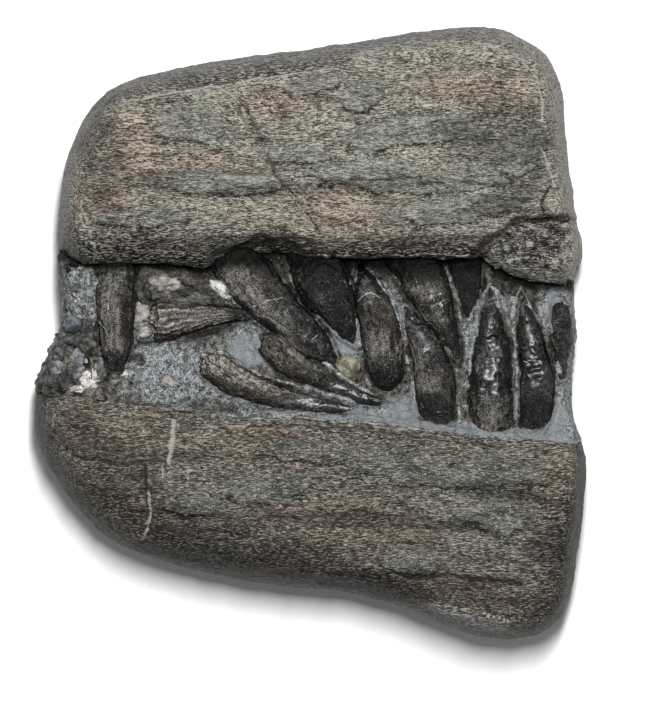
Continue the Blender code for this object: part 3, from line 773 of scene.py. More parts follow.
def shape_zone(obj, centre, line, front_of, undercut=0.0):
    """Draws a slab out to one zone of the stone: out to its boundary in plan, between back and front."""
    block = stone()
    a, b, c = read_points(obj).T
    boundary = np.array(line) - centre
    angles = np.degrees(np.arctan2(boundary[:, 1], boundary[:, 0]))
    order = np.argsort(angles)
    angles, radii = angles[order], np.hypot(boundary[:, 0], boundary[:, 1])[order]
    half = np.abs(boundary).max(axis=0)
    direction = np.arctan2(b * half[1], a * half[0])
    share = np.maximum(np.abs(a), np.abs(b))
    exact = np.interp(np.degrees(direction), angles, radii, period=360)
    turn = np.arange(-180, 180, 0.5)
    even = np.interp(turn, angles, radii, period=360)
    eased = sum(np.roll(even, shift) for shift in range(-EASE_STEPS, EASE_STEPS + 1)) / (2 * EASE_STEPS + 1)
    calm = np.interp(np.degrees(direction), turn, eased, period=360)
    reach = calm + (exact - calm) * share**8
    rim_x = centre[0] + reach * np.cos(direction)
    rim_y = centre[1] + reach * np.sin(direction)
    inset_there, width, _ = block.rounding(rim_x, rim_y)
    open_side = np.clip(1 - inset_there / 3, 0, 1) ** 2

    on_face = np.abs(c) > 1 - 1e-6
    beyond = np.clip((share - FLAT_SHARE) / (1 - FLAT_SHARE), 0, 1)
    tilt = np.radians(np.where(on_face, 90 - 45 * beyond, 45 * np.abs(c)))
    rounded = width * (1 - np.clip(np.cos(tilt), 0, 1) ** SHOULDER_POWER)
    flat = np.maximum(reach - (reach - width) * share / FLAT_SHARE, 0)
    inset = np.where(on_face & (share < FLAT_SHARE), flat, rounded)
    straight = np.where(on_face, reach * (1 - share), 0)
    inset = open_side * inset + (1 - open_side) * straight
    height = np.where(on_face, (c > 0).astype(float), (c + 1) / 2)
    height = np.where(on_face, height, open_side * (c > 0) + (1 - open_side) * height)
    if undercut:
        below = soft_step(1 - height, 0.02, 0.16) * (1 - open_side) * ~on_face
        inset = inset + undercut * below
    x = rim_x - inset * np.cos(direction)
    y = rim_y - inset * np.sin(direction)
    back, front = block.back(x, y), front_of(x, y)
    z = back + height * (np.maximum(front, back + 0.01) - back)
    write_points(obj, np.column_stack([x, y, z]))
    return open_side


def zone_line(keep, edge):
    """The boundary of a zone in plan: the stone's outline where keep says so, and a line across it."""
    block = stone()
    outer = [(x, y) for x, y in block.outline if keep(x, y)]
    inner = [(x, y) for x, y in edge if block.rounding(np.array(x), np.array(y))[0] > 0.05]
    return outer + inner


def rough_edge(edge, offset, amount, seed, step=0.4):
    """The line between a bone and the rock, with small nicks and bumps."""
    x = np.arange(-104, 104, step)
    points = np.column_stack([x, np.full_like(x, seed), np.zeros_like(x)])
    nicks = fractal(points, 7.0, 3, seed) + 0.8 * np.minimum(fractal(points, 2.2, 2, seed + 9), 0)
    return list(zip(x, edge_y(edge, x) + offset + amount * nicks))


# Shader maths


class Value:
    """One output of a shader node, with Python's operators standing for Math nodes."""

    def __init__(self, paint, socket):
        self.paint = paint
        self.socket = socket

    def math(self, operation, *others, clamp=False):
        return self.paint.node(
            "ShaderNodeMath", {"operation": operation, "use_clamp": clamp}, dict(enumerate((self, *others)))
        )

    def __add__(self, other):
        return self.math("ADD", other)

    def __sub__(self, other):
        return self.math("SUBTRACT", other)

    def __mul__(self, other):
        return self.math("MULTIPLY", other)

    def __rsub__(self, other):
        return self.paint.node("ShaderNodeMath", {"operation": "SUBTRACT"}, {0: other, 1: self})

    __radd__ = __add__
    __rmul__ = __mul__

    def clamp(self):
        return self.math("ADD", 0.0, clamp=True)

    def step(self, start, end):
        """0 below start, 1 above end and smooth between them, or the other way round if end is less."""
        return self.paint.node(
            "ShaderNodeMapRange",
            {"interpolation_type": "SMOOTHSTEP"},
            {"Value": self, "From Min": start, "From Max": end, "To Min": 0.0, "To Max": 1.0},
        )

    def most(self, other):
        return self.math("MAXIMUM", other)


class Paint:
    """A material under construction."""

    def __init__(self, name):
        self.material = bpy.data.materials.new(name)
        self.material.use_nodes = True
        self.tree = self.material.node_tree
        self.shader = self.tree.nodes["Principled BSDF"]
        self.place = self.node("ShaderNodeTexCoord", output="Object")

    def node(self, kind, settings=None, inputs=None, output=0):
        """Adds a node, applies its settings, then links or sets its inputs."""
        made = self.tree.nodes.new(kind)
        for name, value in (settings or {}).items():
            setattr(made, name, value)
        for name, value in (inputs or {}).items():
            self.feed(made.inputs[name], value)
        return Value(self, made.outputs[output])

    def feed(self, socket, value):
        if isinstance(value, Value):
            self.tree.links.new(value.socket, socket)
        elif hasattr(socket.default_value, "__len__") and len(socket.default_value) == 4 and len(value) == 3:
            socket.default_value = (*value, 1)
        else:
            socket.default_value = value

    def attribute(self, name):
        return self.node("ShaderNodeAttribute", {"attribute_name": name}, output="Fac")

    def axis(self, vector, axis):
        return self.node("ShaderNodeSeparateXYZ", inputs={0: vector}, output=axis)

    def stretch(self, scale, turn=0.0, vector=None):
        return self.node(
            "ShaderNodeMapping",
            inputs={"Vector": vector or self.place, "Rotation": (0, 0, math.radians(turn)), "Scale": scale},
        )

    def noise(self, vector, scale=1.0, detail=3.0, roughness=0.5, distortion=0.0):
        inputs = {"Vector": vector, "Scale": scale, "Detail": detail, "Roughness": roughness}
        return self.node("ShaderNodeTexNoise", inputs={**inputs, "Distortion": distortion})

    def cell_edges(self, vector, scale):
        """Distance to the nearest edge of a net of cells."""
        inputs = {"Vector": vector, "Scale": scale}
        return self.node("ShaderNodeTexVoronoi", {"feature": "DISTANCE_TO_EDGE"}, inputs)

    def mix(self, share, first, second):
        """Colours: share 0 is the first and 1 the second. Sockets 6 and 7 and output 2 are the colours."""
        return self.node("ShaderNodeMix", {"data_type": "RGBA"}, {0: share, 6: first, 7: second}, output=2)

    def shade(self, colour, amount):
        """A colour made darker or lighter by a varying number."""
        return self.node("ShaderNodeVectorMath", {"operation": "SCALE"}, {"Vector": colour, "Scale": amount})

    def bump(self, height, distance):
        inputs = {"Height": height, "Distance": distance, "Strength": 1.0}
        return self.node("ShaderNodeBump", inputs=inputs, output="Normal")

    def finish(self, colour, roughness, normal=None, constants=None):
        self.feed(self.shader.inputs["Base Color"], colour)
        self.feed(self.shader.inputs["Roughness"], roughness)
        if normal:
            self.feed(self.shader.inputs["Normal"], normal)
        for name, value in (constants or {}).items():
            self.shader.inputs[name].default_value = value
        return self.material


def bone_material(name, turn, warmth, rusting, lightness, side_shade):
    """Fibrous weathered bone: fine scratchy fibres, colour zones, painted shade in hollows and a film of
    rock.

    turn is the fibres' direction in degrees, warmth and rusting are its share of brown and of rust,
    and side_shade is how much darker its sides are painted than its face, as painted shade.
    """
    tint = colours()
    paint = Paint(name)
    bend = paint.noise(paint.place, 22, 2)
    bent = paint.node(
        "ShaderNodeVectorMath",
        {"operation": "ADD"},
        {0: paint.place, 1: paint.node("ShaderNodeCombineXYZ", inputs={"Y": (bend - 0.5) * 0.008})},
    )
    hair = paint.noise(paint.stretch((520, 2500, 1300), turn, bent), detail=1, roughness=0.5)
    fine = paint.noise(paint.stretch((210, 1150, 500), turn, bent), detail=2, roughness=0.6)
    long = paint.noise(paint.stretch((30, 260, 200), turn, bent), detail=4, roughness=0.62)
    broad = paint.noise(paint.stretch((14, 62, 60), turn, bent), detail=5, roughness=0.65)
    zone = paint.noise(paint.stretch((16, 34, 34), 0, bent), detail=4, roughness=0.6)
    grit = paint.noise(paint.place, 2500, 1, 0.5)
    film = paint.attribute("film")
    side = paint.attribute("side")
    hollow_shade = paint.attribute("hollow_shade")
    # Stains; on the upper jaw this also carries painted shade along the ledge
    stain = (paint.attribute("stain") + (broad - 0.5) * 1.9).step(0.30, 0.90)

    warm = (paint.attribute("brown") + (zone - 0.5) * 0.9 + (broad - 0.5) * 1.8 + warmth).step(0.05, 1.05)
    colour = paint.mix(warm, tint.bone_grey, tint.bone_brown)
    colour = paint.mix(broad.step(0.50, 0.70) * rusting * warm, colour, tint.rust)
    broken = paint.attribute("broken") * (1 - side * 0.8)
    colour = paint.mix(broken * 0.75, colour, tint.broken_bone)
    lit_end = paint.axis(paint.place, "X").step(0.055, 0.085)
    colour = paint.mix(side * (0.9 - lit_end * 0.5), colour, tint.bone_side)
    colour = paint.mix(film * 0.78, colour, tint.film)
    colour = paint.mix(paint.attribute("pale_rock") * 0.8, colour, PALE_ROCK)
    scratchy = (1 - film * 0.35) * (1 - side * 0.35)
    tone = 0.04 + hair.step(0.42, 0.58) * 1.40 * scratchy + fine.step(0.40, 0.60) * 0.22 * scratchy
    tone = tone + grit.step(0.42, 0.58) * 0.85 + film * 0.30 + side * 0.26
    # Painted light and shade on the relief: crests a little lighter, hollows darker
    raised = paint.attribute("raised")
    tone = tone * (1 + raised.step(0.0, 0.25) * 0.10 - raised.step(0.0, -0.25) * 0.25)
    # Painted shade in the flaked and dented hollows
    tone = tone * (1 - stain * 0.45) * (1 - hollow_shade * 0.30) * (0.90 + long.step(0.36, 0.62) * 0.14)
    chunks = paint.noise(paint.stretch((170, 330, 330), 8), detail=4, roughness=0.7)
    tone = tone * (1 + broken * (chunks.step(0.44, 0.58) * 2.1 - 0.75))
    shaded = paint.attribute("shaded")
    streak = hair.step(0.50, 0.58) * 0.60 * (1 - side * 0.85)
    # Painted shade from the shaded attribute, and on the sides, which are painted darker on the lower jaw
    tone = tone * (1 - shaded * (1.0 - side * side * 0.8 - streak)) * (1 - side * side_shade)
    # Painted shadow under the lower edges of the films of rock
    tone = tone * (1 - paint.attribute("lip") * 0.75)
    colour = paint.shade(colour, tone * lightness)
    speck = hair.step(0.56, 0.63) * grit.step(0.44, 0.56)
    speck = speck * (1 - stain * 0.5) * (1 - side * side_shade) * (1 - shaded * 0.5)
    colour = paint.mix(speck * 0.85, colour, tint.bone_cream)
    split = paint.noise(paint.stretch((62, 620, 400), turn, bent), detail=2, roughness=0.5)
    split = split.step(0.468, 0.488) * split.step(0.532, 0.512) * long.step(0.45, 0.56)
    gap = (hair.step(0.43, 0.36) * fine.step(0.50, 0.40) * 0.45).most(split * 0.8)
    colour = paint.mix(gap, colour, tint.bone_dark)
    colour = paint.mix(paint.attribute("crack"), colour, CRACK_BLACK)
    line = paint.attribute("vein") * (1 - side)
    vein = (line + (grit - 0.5) * 0.6 + (chunks - 0.5) * 1.8).step(0.35, 0.80) * line.step(0.03, 0.15)
    colour = paint.mix(vein * 0.8, colour, tint.calcite)

    height = (hair * 0.9 + fine * 0.8 + long * 0.4) * scratchy + grit * 0.45
    height = height + paint.noise(paint.place, 480, 4, 0.7) * 0.55
    normal = paint.bump(height, sizes().fibre_relief * 1.5)
    return paint.finish(colour, 0.62 + (grit - 0.5) * 0.3, normal, {"Specular IOR Level": 0.18})


def rock_material():
    """Cut-back rock: granular blue-grey stone, darker brown crumbs and pale crests, with painted light and
    shade on its relief and painted shade in the crevices round the teeth and in the gap under the ledge.
    """
    tint = colours()
    paint = Paint("cut_rock")
    zone = paint.noise(paint.place, 60, 5, 0.68)
    grit = paint.noise(paint.place, 2300, 1, 0.5)
    lumps = paint.noise(paint.place, 560, 4, 0.7)
    clean = (paint.attribute("clean") + (zone - 0.5) * 1.3 + (lumps - 0.5) * 0.7).step(0.22, 0.95)
    rim = (paint.attribute("rim") + (lumps - 0.5) * 0.8).step(0.38, 0.9)
    colour = paint.mix(zone.step(0.40, 0.62), tint.rock_dark, CRUMB_BROWN)
    colour = paint.mix(clean * (0.55 + lumps.step(0.40, 0.58) * 0.45), colour, tint.rock_blue)
    colour = paint.mix(rim * 0.7, colour, CREST_GREY)
    # Painted light and shade on the relief: crests lighter, hollows darker, less so on the clean rock
    raised = paint.attribute("raised")
    tone = 0.10 + grit.step(0.41, 0.59) * 1.15 + lumps.step(0.38, 0.62) * 0.66
    tone = tone * (1 + (raised.step(0.0, 0.35) * 0.5 - raised.step(0.0, -0.30) * 0.75) * (1 - clean * 0.7))
    smooth = (paint.attribute("smooth") + (zone - 0.5) * 1.0).step(0.30, 0.75)
    colour = paint.mix(smooth * 0.8, colour, CUT_ROCK)
    tone = tone * (1 - smooth * 0.65) + smooth * 0.62
    # Painted shade in the crevices round the teeth and in the gap under the upper jaw's ledge
    colour = paint.shade(colour, tone * (1 - paint.attribute("crevice_shade") * 0.75))
    fleck = paint.noise(paint.place, 1100, 2, 0.5).step(0.66, 0.74)
    colour = paint.mix(fleck * 0.45, colour, tint.calcite)
    colour = paint.mix(paint.attribute("pit") * 0.9, colour, PIT_BLACK)
    height = lumps * 0.9 + grit * 0.45 + paint.noise(paint.place, 150, 3) * 0.5
    normal = paint.bump(height, sizes().rock_relief)
    return paint.finish(colour, 0.78 + (grit - 0.5) * 0.2, normal, {"Specular IOR Level": 0.2})


def tooth_material(name):
    """Black mineralised tooth: granular brown-grey root, glossy crown with chips and pale flecks."""
    tint = colours()
    paint = Paint(name)
    along = paint.attribute("along")
    around = paint.attribute("around")
    crown = paint.attribute("crown")
    brown = paint.attribute("brown")
    top = paint.attribute("top")
    cloud = paint.noise(paint.place, 150, 5, 0.66)
    grit = paint.noise(paint.place, 2500, 1, 0.5)
    pits = paint.noise(paint.place, 560, 4, 0.68)
    across = paint.axis(paint.place, "X") * 3
    lines = paint.node("ShaderNodeCombineXYZ", inputs={"X": around * 60, "Y": along * 9, "Z": across})
    ribs = paint.noise(lines, detail=4, roughness=0.66)
    bands = paint.node("ShaderNodeCombineXYZ", inputs={"X": around * 20, "Y": along * 6, "Z": across})
    streaks = paint.noise(bands, detail=4, roughness=0.66)
    crack = paint.cell_edges(paint.place, 120).step(0.022, 0.0) * cloud.step(0.52, 0.62)
    glossy = paint.attribute("glossy")
    gloss = (crown * cloud.step(0.34, 0.46)).most(glossy.step(0.2, 0.6))
    wrinkle = paint.noise(paint.place, 340, 3, 0.6, 1.2)
    ragged = (cloud - 0.5) * 1.6 + (streaks - 0.5) * 1.4 + (pits - 0.5) * 0.8
    # Dusty tops, some of them painted highlights; black patches, partly painted shadow
    dust_and_highlight = (paint.attribute("dust_and_highlight") + ragged).step(0.30, 0.85) * top.step(0.25, 0.8)
    black = (paint.attribute("black") + ragged).step(0.35, 0.75)

    colour = paint.mix(cloud.step(0.42, 0.64), tint.tooth_dark, TOOTH_CLOUD)
    colour = paint.mix((brown * (cloud * 3.0 - 0.95)).clamp() * (0.3 + top * 0.7), colour, tint.tooth_brown)
    colour = paint.mix(dust_and_highlight * 0.7, colour, tint.tooth_dust_and_highlight)
    tone = 0.02 + grit.step(0.45, 0.58) * 1.45 + pits.step(0.42, 0.58) * 0.60 + ribs.step(0.42, 0.58) * 0.15
    tone = tone * (0.50 + streaks.step(0.38, 0.60) * 0.55) * (1 - crown * 0.35) * paint.attribute("pale")
    tone = tone * (1 - glossy * 0.5)
    # Painted light and shade on the relief: crests lighter, hollows darker
    raised = paint.attribute("raised") - 0.16
    edges = 1 + raised.step(0.0, 0.25) * 0.9 - raised.step(0.0, -0.25) * 0.75
    # Painted shadow under the ledge, together with the black patches, some of which are painted shadow too
    lit = (1 - paint.attribute("shaded") * 0.95) * (1 - black * 0.75)
    # Painted shade: the sides of each tooth, where they turn down into the rock, much darker than its top
    colour = paint.shade(colour, tone * (0.15 + top.step(0.3, 0.95) * 0.95) * edges * lit)
    worn = (top * 1.3 - 0.45).clamp() * (1 - crown * 0.8)
    settled = (cloud * 0.8 + pits * 1.4 + ribs * 0.5 - 1.05 + dust_and_highlight * 0.30).clamp()
    dust = grit.step(0.50, 0.60) * settled * worn
    # Crests are painted paler as well, as painted light
    dust = (dust + raised.step(0.10, 0.45) * 0.25 + dust_and_highlight * ribs.step(0.48, 0.62) * 0.30) * lit
    colour = paint.mix(dust.clamp(), colour, TOOTH_SCUFF)
    colour = paint.mix(crack * 0.4 * lit, colour, TOOTH_CRACK)
    # Painted sheen: silvery wrinkles painted on the glossy enamel, left out of the painted shadow
    painted_sheen = glossy.step(0.25, 0.9) * wrinkle.step(0.50, 0.60) * (1 - paint.attribute("shaded"))
    colour = paint.mix(painted_sheen * 0.8, colour, PAINTED_ENAMEL_SHEEN)
    fleck = paint.noise(paint.place, 1700, 1, 0.5).step(0.66, 0.76) * (0.25 + top * 0.75)
    fleck = fleck * (1 - paint.attribute("shaded")) * (0.2 + cloud.step(0.40, 0.60) * 0.8)
    colour = paint.mix(fleck * 0.85, colour, tint.calcite)
    height = (ribs * 0.35 + pits * 0.9) * (1 - gloss * 0.85)
    height = height + cloud * 1.4 + streaks + wrinkle * glossy * 2.0
    normal = paint.bump(height, 0.0011)
    rough = 0.55 - gloss * 0.30 + (grit - 0.5) * 0.2
    paint.feed(paint.shader.inputs["Coat Weight"], gloss * 0.42 * (1 - paint.attribute("shaded")))
    enamel = {"Specular IOR Level": 0.22, "Coat Roughness": 0.30, "Coat IOR": 1.6}
    return paint.finish(colour, rough, normal, enamel)


def calcite_material():
    """Thin pale veins, broken up by darker grains."""
    paint = Paint("calcite")
    grit = paint.noise(paint.place, 1300, 3, 0.65)
    colour = paint.mix(grit.step(0.40, 0.60), VEIN_GRAIN, colours().calcite)
    return paint.finish(colour, 0.5 + grit * 0.25, paint.bump(grit, 0.0003), {"Specular IOR Level": 0.3})


def pebble_material(name, base):
    """A worn stone or chip in clouds of one colour, with a few pale grains."""
    paint = Paint(name)
    cloud = paint.noise(paint.place, 260, 4, 0.62)
    grit = paint.noise(paint.place, 1500, 2, 0.6)
    dark = tuple(channel * 0.35 for channel in base)
    light = tuple(min(channel * 1.5, 1) for channel in base)
    colour = paint.mix(cloud.step(0.36, 0.64), dark, light)
    colour = paint.mix(grit.step(0.62, 0.74) * 0.35, colour, colours().calcite)
    normal = paint.bump(cloud * 0.7 + grit * 0.3, 0.0006)
    return paint.finish(colour, 0.42 + (grit - 0.5) * 0.25, normal, {"Specular IOR Level": 0.3})


# The pieces


def chip(x, y):
    """1 where a flake has gone from the upper jaw's ledge, over the great tooth, and 0 elsewhere."""
    above = np.maximum(y - edge_y(UPPER_EDGE, x), 0)
    ragged = fractal(np.column_stack([x, y, np.zeros_like(x)]), (8, 3, 5), 3, 4.6)
    reach = 6.4 - np.abs(x + 18) / 6.0 + 1.2 * ragged
    span = soft_step(x, -38, -33) * (1 - soft_step(x, -7, -2))
    return span * (1 - soft_step(above, reach - 1.2, reach + 0.6))


def upper_front(x, y):
    """The upper jaw's front, with its broken corner shelf."""
    height = stone().front(x, y)
    ragged = fractal(np.column_stack([x, y, np.zeros_like(x)]), 5.0, 3, 3.3)
    short_of_step = edge_y(CORNER_STEP, x) + 0.9 * ragged - y
    inside = soft_step(short_of_step, -0.5, 0.7) * soft_step(x + 1.2 * ragged, 59.5, 61.5)
    shelf = height - 8.0 + 1.6 * ragged
    for lump_x, lump_y, half_x, half_y, rise in CORNER_LUMPS:
        shelf = shelf + rise * np.exp(-(((x - lump_x) / half_x) ** 2 + ((y - lump_y) / half_y) ** 2))
    above = np.maximum(y - edge_y(UPPER_EDGE, x), 0)
    shelf = shelf - 3.5 * (1 - soft_step(above, 0, 4.5))
    worn = height - 5.0 * np.exp(-above / 3.4) - 0.9 * ragged * np.exp(-above / 6) - 6.0 * chip(x, y)
    return worn * (1 - inside) + np.minimum(shelf, height) * inside


def lower_front(x, y):
    """The lower jaw's front, eased along the edge that the rock laps against."""
    below = np.maximum(edge_y(LOWER_EDGE, x) - y, 0)
    return stone().front(x, y) - 1.1 * np.exp(-below / 1.3)


def weather_bone(obj, seed, turn, films):
    """Fibres, flakes, dents and films of rock on the front, rough broken walls and a smoother worn side."""
    points = read_points(obj)
    normals = read_normals(obj)
    cos, sin = math.cos(math.radians(turn)), math.sin(math.radians(turn))
    along = points[:, 0] * cos + points[:, 1] * sin
    across = -points[:, 0] * sin + points[:, 1] * cos
    grain = np.column_stack([along, across + 2 * fractal(points, 30, 2, seed + 4), points[:, 2]])
    lifted = soft_step(normals[:, 2], 0.3, 0.9)
    fibres = fractal(grain, (14, 1.9, 4), 3, seed)
    ridges = fractal(grain, (45, 6, 8), 3, seed + 7)
    flakes = np.clip(fractal(grain, (12, 3.6, 5), 4, seed + 2) - 0.18, 0, None)
    dents = np.clip(-fractal(points, (9, 5, 8), 4, seed + 11) - 0.28, 0, None)
    lumps = fractal(points, 9, 3, seed + 5)
    ragged = 0.48 * fractal(grain, (9, 3.5, 5), 4, seed + 3) + 0.30 * fractal(points, 14, 2, seed + 6)
    x, y = points[:, 0], points[:, 1]
    film = soft_step(patches(x, y, films, 0.6) + ragged, 0.46, 0.54) * lifted
    # Painted shadow: a band just below the lower edge of each film of rock
    lip = np.clip(soft_step(patches(x, y + 1.0, films, 0.6) + ragged, 0.46, 0.54) * lifted - film, 0, 1)
    layers = fractal(grain, (16, 5.0, 7), 4, seed + 15)
    plates = soft_step(layers, -0.20, -0.14) + soft_step(layers, 0.10, 0.15) + soft_step(layers, 0.36, 0.41)
    front = 0.30 * fibres + 0.5 * ridges + 0.45 * plates - 2.0 * flakes - 2.4 * dents + 1.3 * film
    rough = patches(points[:, 0], points[:, 1], ROUGH_BREAKS, 0.5)
    pitting = np.abs(fractal(points, (7, 3.5, 4), 3, seed + 9))
    crumble = 1.8 * fractal(points, (9, 5, 5), 3, seed + 8) - 2.4 * pitting
    amount = lifted * (front + rough * crumble) + 0.6 * lumps + 0.3 * fractal(points, 2.4, 3, seed + 1)
    points = points + normals * (amount * soft_step(normals[:, 2], -0.8, -0.5))[:, None]
    peak = np.maximum(points[:, 2] - HIGHEST_PEAK, 0)
    points[:, 2] = np.maximum(points[:, 2] - peak + PEAK_ROOM * np.tanh(peak / PEAK_ROOM), 0)
    write_points(obj, points)
    store(obj, "film", film)
    store(obj, "lip", lip)
    # Painted shade in the flakes, dents, lower layers and broken hollows
    low = 0.25 * (3 - plates) + np.clip(flakes * 3 + dents * 3, 0, 1) + rough * np.clip(-crumble, 0, 1)
    store(obj, "hollow_shade", np.clip(low, 0, 1) * lifted)
    return soft_step(1 - normals[:, 2], 0.15, 0.75)


def store_veins(obj, lines):
    """Keeps where the thin veins of calcite run, for the bone's material."""
    points = read_points(obj)
    x = points[:, 0] + 0.5 * fractal(points, 4, 3, 3.5)
    y = points[:, 1] + 0.6 * fractal(points, 5, 3, 9.5)
    vein = np.zeros(len(points))
    for line, half_width in lines:
        vein = np.maximum(vein, np.exp(-((distance_to_line(x, y, line) / half_width) ** 2)))
    store(obj, "vein", vein * (read_normals(obj)[:, 2] > 0.1))


def cut_lines(obj, lines):
    """Cuts narrow grooves along lines in plan, and returns how deep in one each vertex is."""
    points = read_points(obj)
    x, y = points[:, 0], points[:, 1]
    wobble = fractal(points, 5, 2, 8.0)
    deep = np.zeros(len(points))
    for line, width, depth in lines:
        away = distance_to_line(x, y + 0.8 * wobble, line)
        groove = np.exp(-((away / width) ** 2)) * (read_normals(obj)[:, 2] > 0.2)
        points[:, 2] -= depth * groove
        deep = np.maximum(deep, groove * min(1, depth / 0.8))
    points[:, 2] = np.maximum(points[:, 2], 0)
    write_points(obj, points)
    return deep


UPPER_CRACKS = [
    ([(-27.6, 84.9), (-22.2, 78.4), (-17.8, 70.4), (-13.1, 57.6), (-7.6, 50.4), (3.3, 35.8)], 0.7, 0.7),
    ([(58, 27.5), (63, 32.5), (66, 33.8), (71, 38.5), (74.2, 41.3), (92.4, 42)], 1.1, 2.6),
    ([(84, 41.5), (83, 47), (86, 53)], 0.6, 0.8),
    ([(-35, 25), (-27, 31), (-16, 33.5), (-6, 35), (0, 33)], 0.7, 0.9),
    ([(14, 55), (40, 56), (68, 53)], 0.6, 0.5),
    ([(-66, 57), (-40, 58), (-12, 57)], 0.6, 0.45),
]
LOWER_CRACKS = [
    ([(34, -87.5), (45, -87.4), (52, -86.8), (58, -88), (66, -89), (76, -90.4)], 0.7, 1.5),
    ([(-59.8, -47.5), (-59.2, -56), (-57.5, -66), (-61, -76)], 0.5, 0.9),
    ([(-20, -33), (10, -34), (40, -37.5), (70, -41)], 0.6, 0.5),
    ([(-86, -44), (-70, -47), (-52, -46)], 0.6, 0.6),
]


class FOSSIL_JAW_OT_upper_jaw(Operator):
    """Builds the upper jaw bone, with its broken corner and the ledge over the teeth"""

    bl_idname = "fossil_jaw.upper_jaw"
    bl_label = "Upper jaw bone"

    def execute(self, context):
        edge = rough_edge(UPPER_EDGE, 0.15, 0.55, 2.0)
        line = zone_line(lambda x, y: y > edge_y(UPPER_EDGE, x) + 0.15, edge)
        jaw = make_slab("upper_jaw_bone", 186, 82, 32)
        shape_zone(jaw, np.array([16.0, 67.0]), line, upper_front, undercut=2.6)
        side = weather_bone(jaw, 1.7, -2, UPPER_FILM)
        crack = cut_lines(jaw, UPPER_CRACKS)
        x, y = read_points(jaw).T[:2]
        store_relief(jaw)
        store_veins(jaw, UPPER_VEINS)
        store(jaw, "side", side)
        store(jaw, "crack", crack * 0.9)
        above = np.maximum(y - edge_y(UPPER_EDGE, x), 0)
        corner = soft_step(edge_y(CORNER_STEP, x) + 1.5 - y, -0.5, 1.0) * soft_step(x, 59, 63)
        broken = np.maximum(corner, chip(x, y))
        # Painted shade along the ledge, fading upwards over a band that is wider at the left, and in the
        # chipped hollow
        band = np.interp(x, (-60, -36, 0, 60), (15.0, 11.0, 7.5, 7.5))
        shaded = np.maximum(np.exp(-((above / band) ** 3)) * (1 - corner), 0.85 * chip(x, y))
        # The stains, with painted shade that fades upwards from the ledge
        store(jaw, "stain", np.maximum(patches(x, y, UPPER_STAIN_AND_LEDGE_SHADE, 0.9), np.exp(-above / 6)))
        # Beyond the shoulder line the scratched band is darkened too: darker bone and painted shade together
        outside = soft_step(y - edge_y(SHOULDER_LINE, x), -0.4, 0.8) * (1 - soft_step(x, 30, 70) * 0.5)
        shaded = np.maximum(shaded, 0.60 * outside * soft_step(y, 52, 86))
        store(jaw, "broken", broken)
        store(jaw, "shaded", shaded)
        store(jaw, "brown", patches(x, y, UPPER_BROWN, 0.9))
        store(jaw, "pale_rock", np.zeros(len(x)))
        bone = bone_material(
            "upper_bone", turn=-2, warmth=0.0, rusting=0.12, lightness=1.29, side_shade=0.0
        )
        finish_piece(jaw, "upper_jaw", bone)
        return {"FINISHED"}


class FOSSIL_JAW_OT_lower_jaw(Operator):
    """Builds the lower jaw bone, worn round at the left end and along the bottom"""

    bl_idname = "fossil_jaw.lower_jaw"
    bl_label = "Lower jaw bone"

    def execute(self, context):
        edge = rough_edge(LOWER_EDGE, -0.15, 0.4, 5.0)
        line = zone_line(lambda x, y: y < edge_y(LOWER_EDGE, x) - 0.15, edge)
        jaw = make_slab("lower_jaw_bone", 186, 82, 32)
        shape_zone(jaw, np.array([2.0, -62.0]), line, lower_front)
        side = weather_bone(jaw, 6.1, -4, LOWER_FILM)
        crack = cut_lines(jaw, LOWER_CRACKS)
        x, y = read_points(jaw).T[:2]
        store_relief(jaw)
        store_veins(jaw, LOWER_VEINS)
        store(jaw, "side", side)
        store(jaw, "crack", crack * 0.9)
        strip = patches(x, y + 1.2 * fractal(read_points(jaw), 8, 3, 2.9), [(52, -103.5, 22, 3.6, -14)], 0.4)
        inset = stone().rounding(x, y)[0]
        # Painted shade: darker towards the bottom edge, except on the pale strip
        worn = (1 - soft_step(inset, 2, 26)) * soft_step(-y, 45, 66)
        store(jaw, "shaded", 0.88 * worn * (1 - strip))
        rim = np.exp(-(((edge_y(LOWER_EDGE, x) - y - 0.3) / 0.7) ** 2)) * soft_step(x, -25, 5)
        store(jaw, "pale_rock", np.maximum(strip, 0.8 * rim))
        store(jaw, "broken", np.zeros(len(x)))
        store(jaw, "stain", patches(x, y, LOWER_STAIN, 0.9))
        store(jaw, "brown", patches(x, y, LOWER_BROWN, 0.9))
        bone = bone_material(
            "lower_bone", turn=-4, warmth=0.05, rusting=0.45, lightness=0.71, side_shade=0.62
        )
        finish_piece(jaw, "lower_jaw", bone)
        return {"FINISHED"}


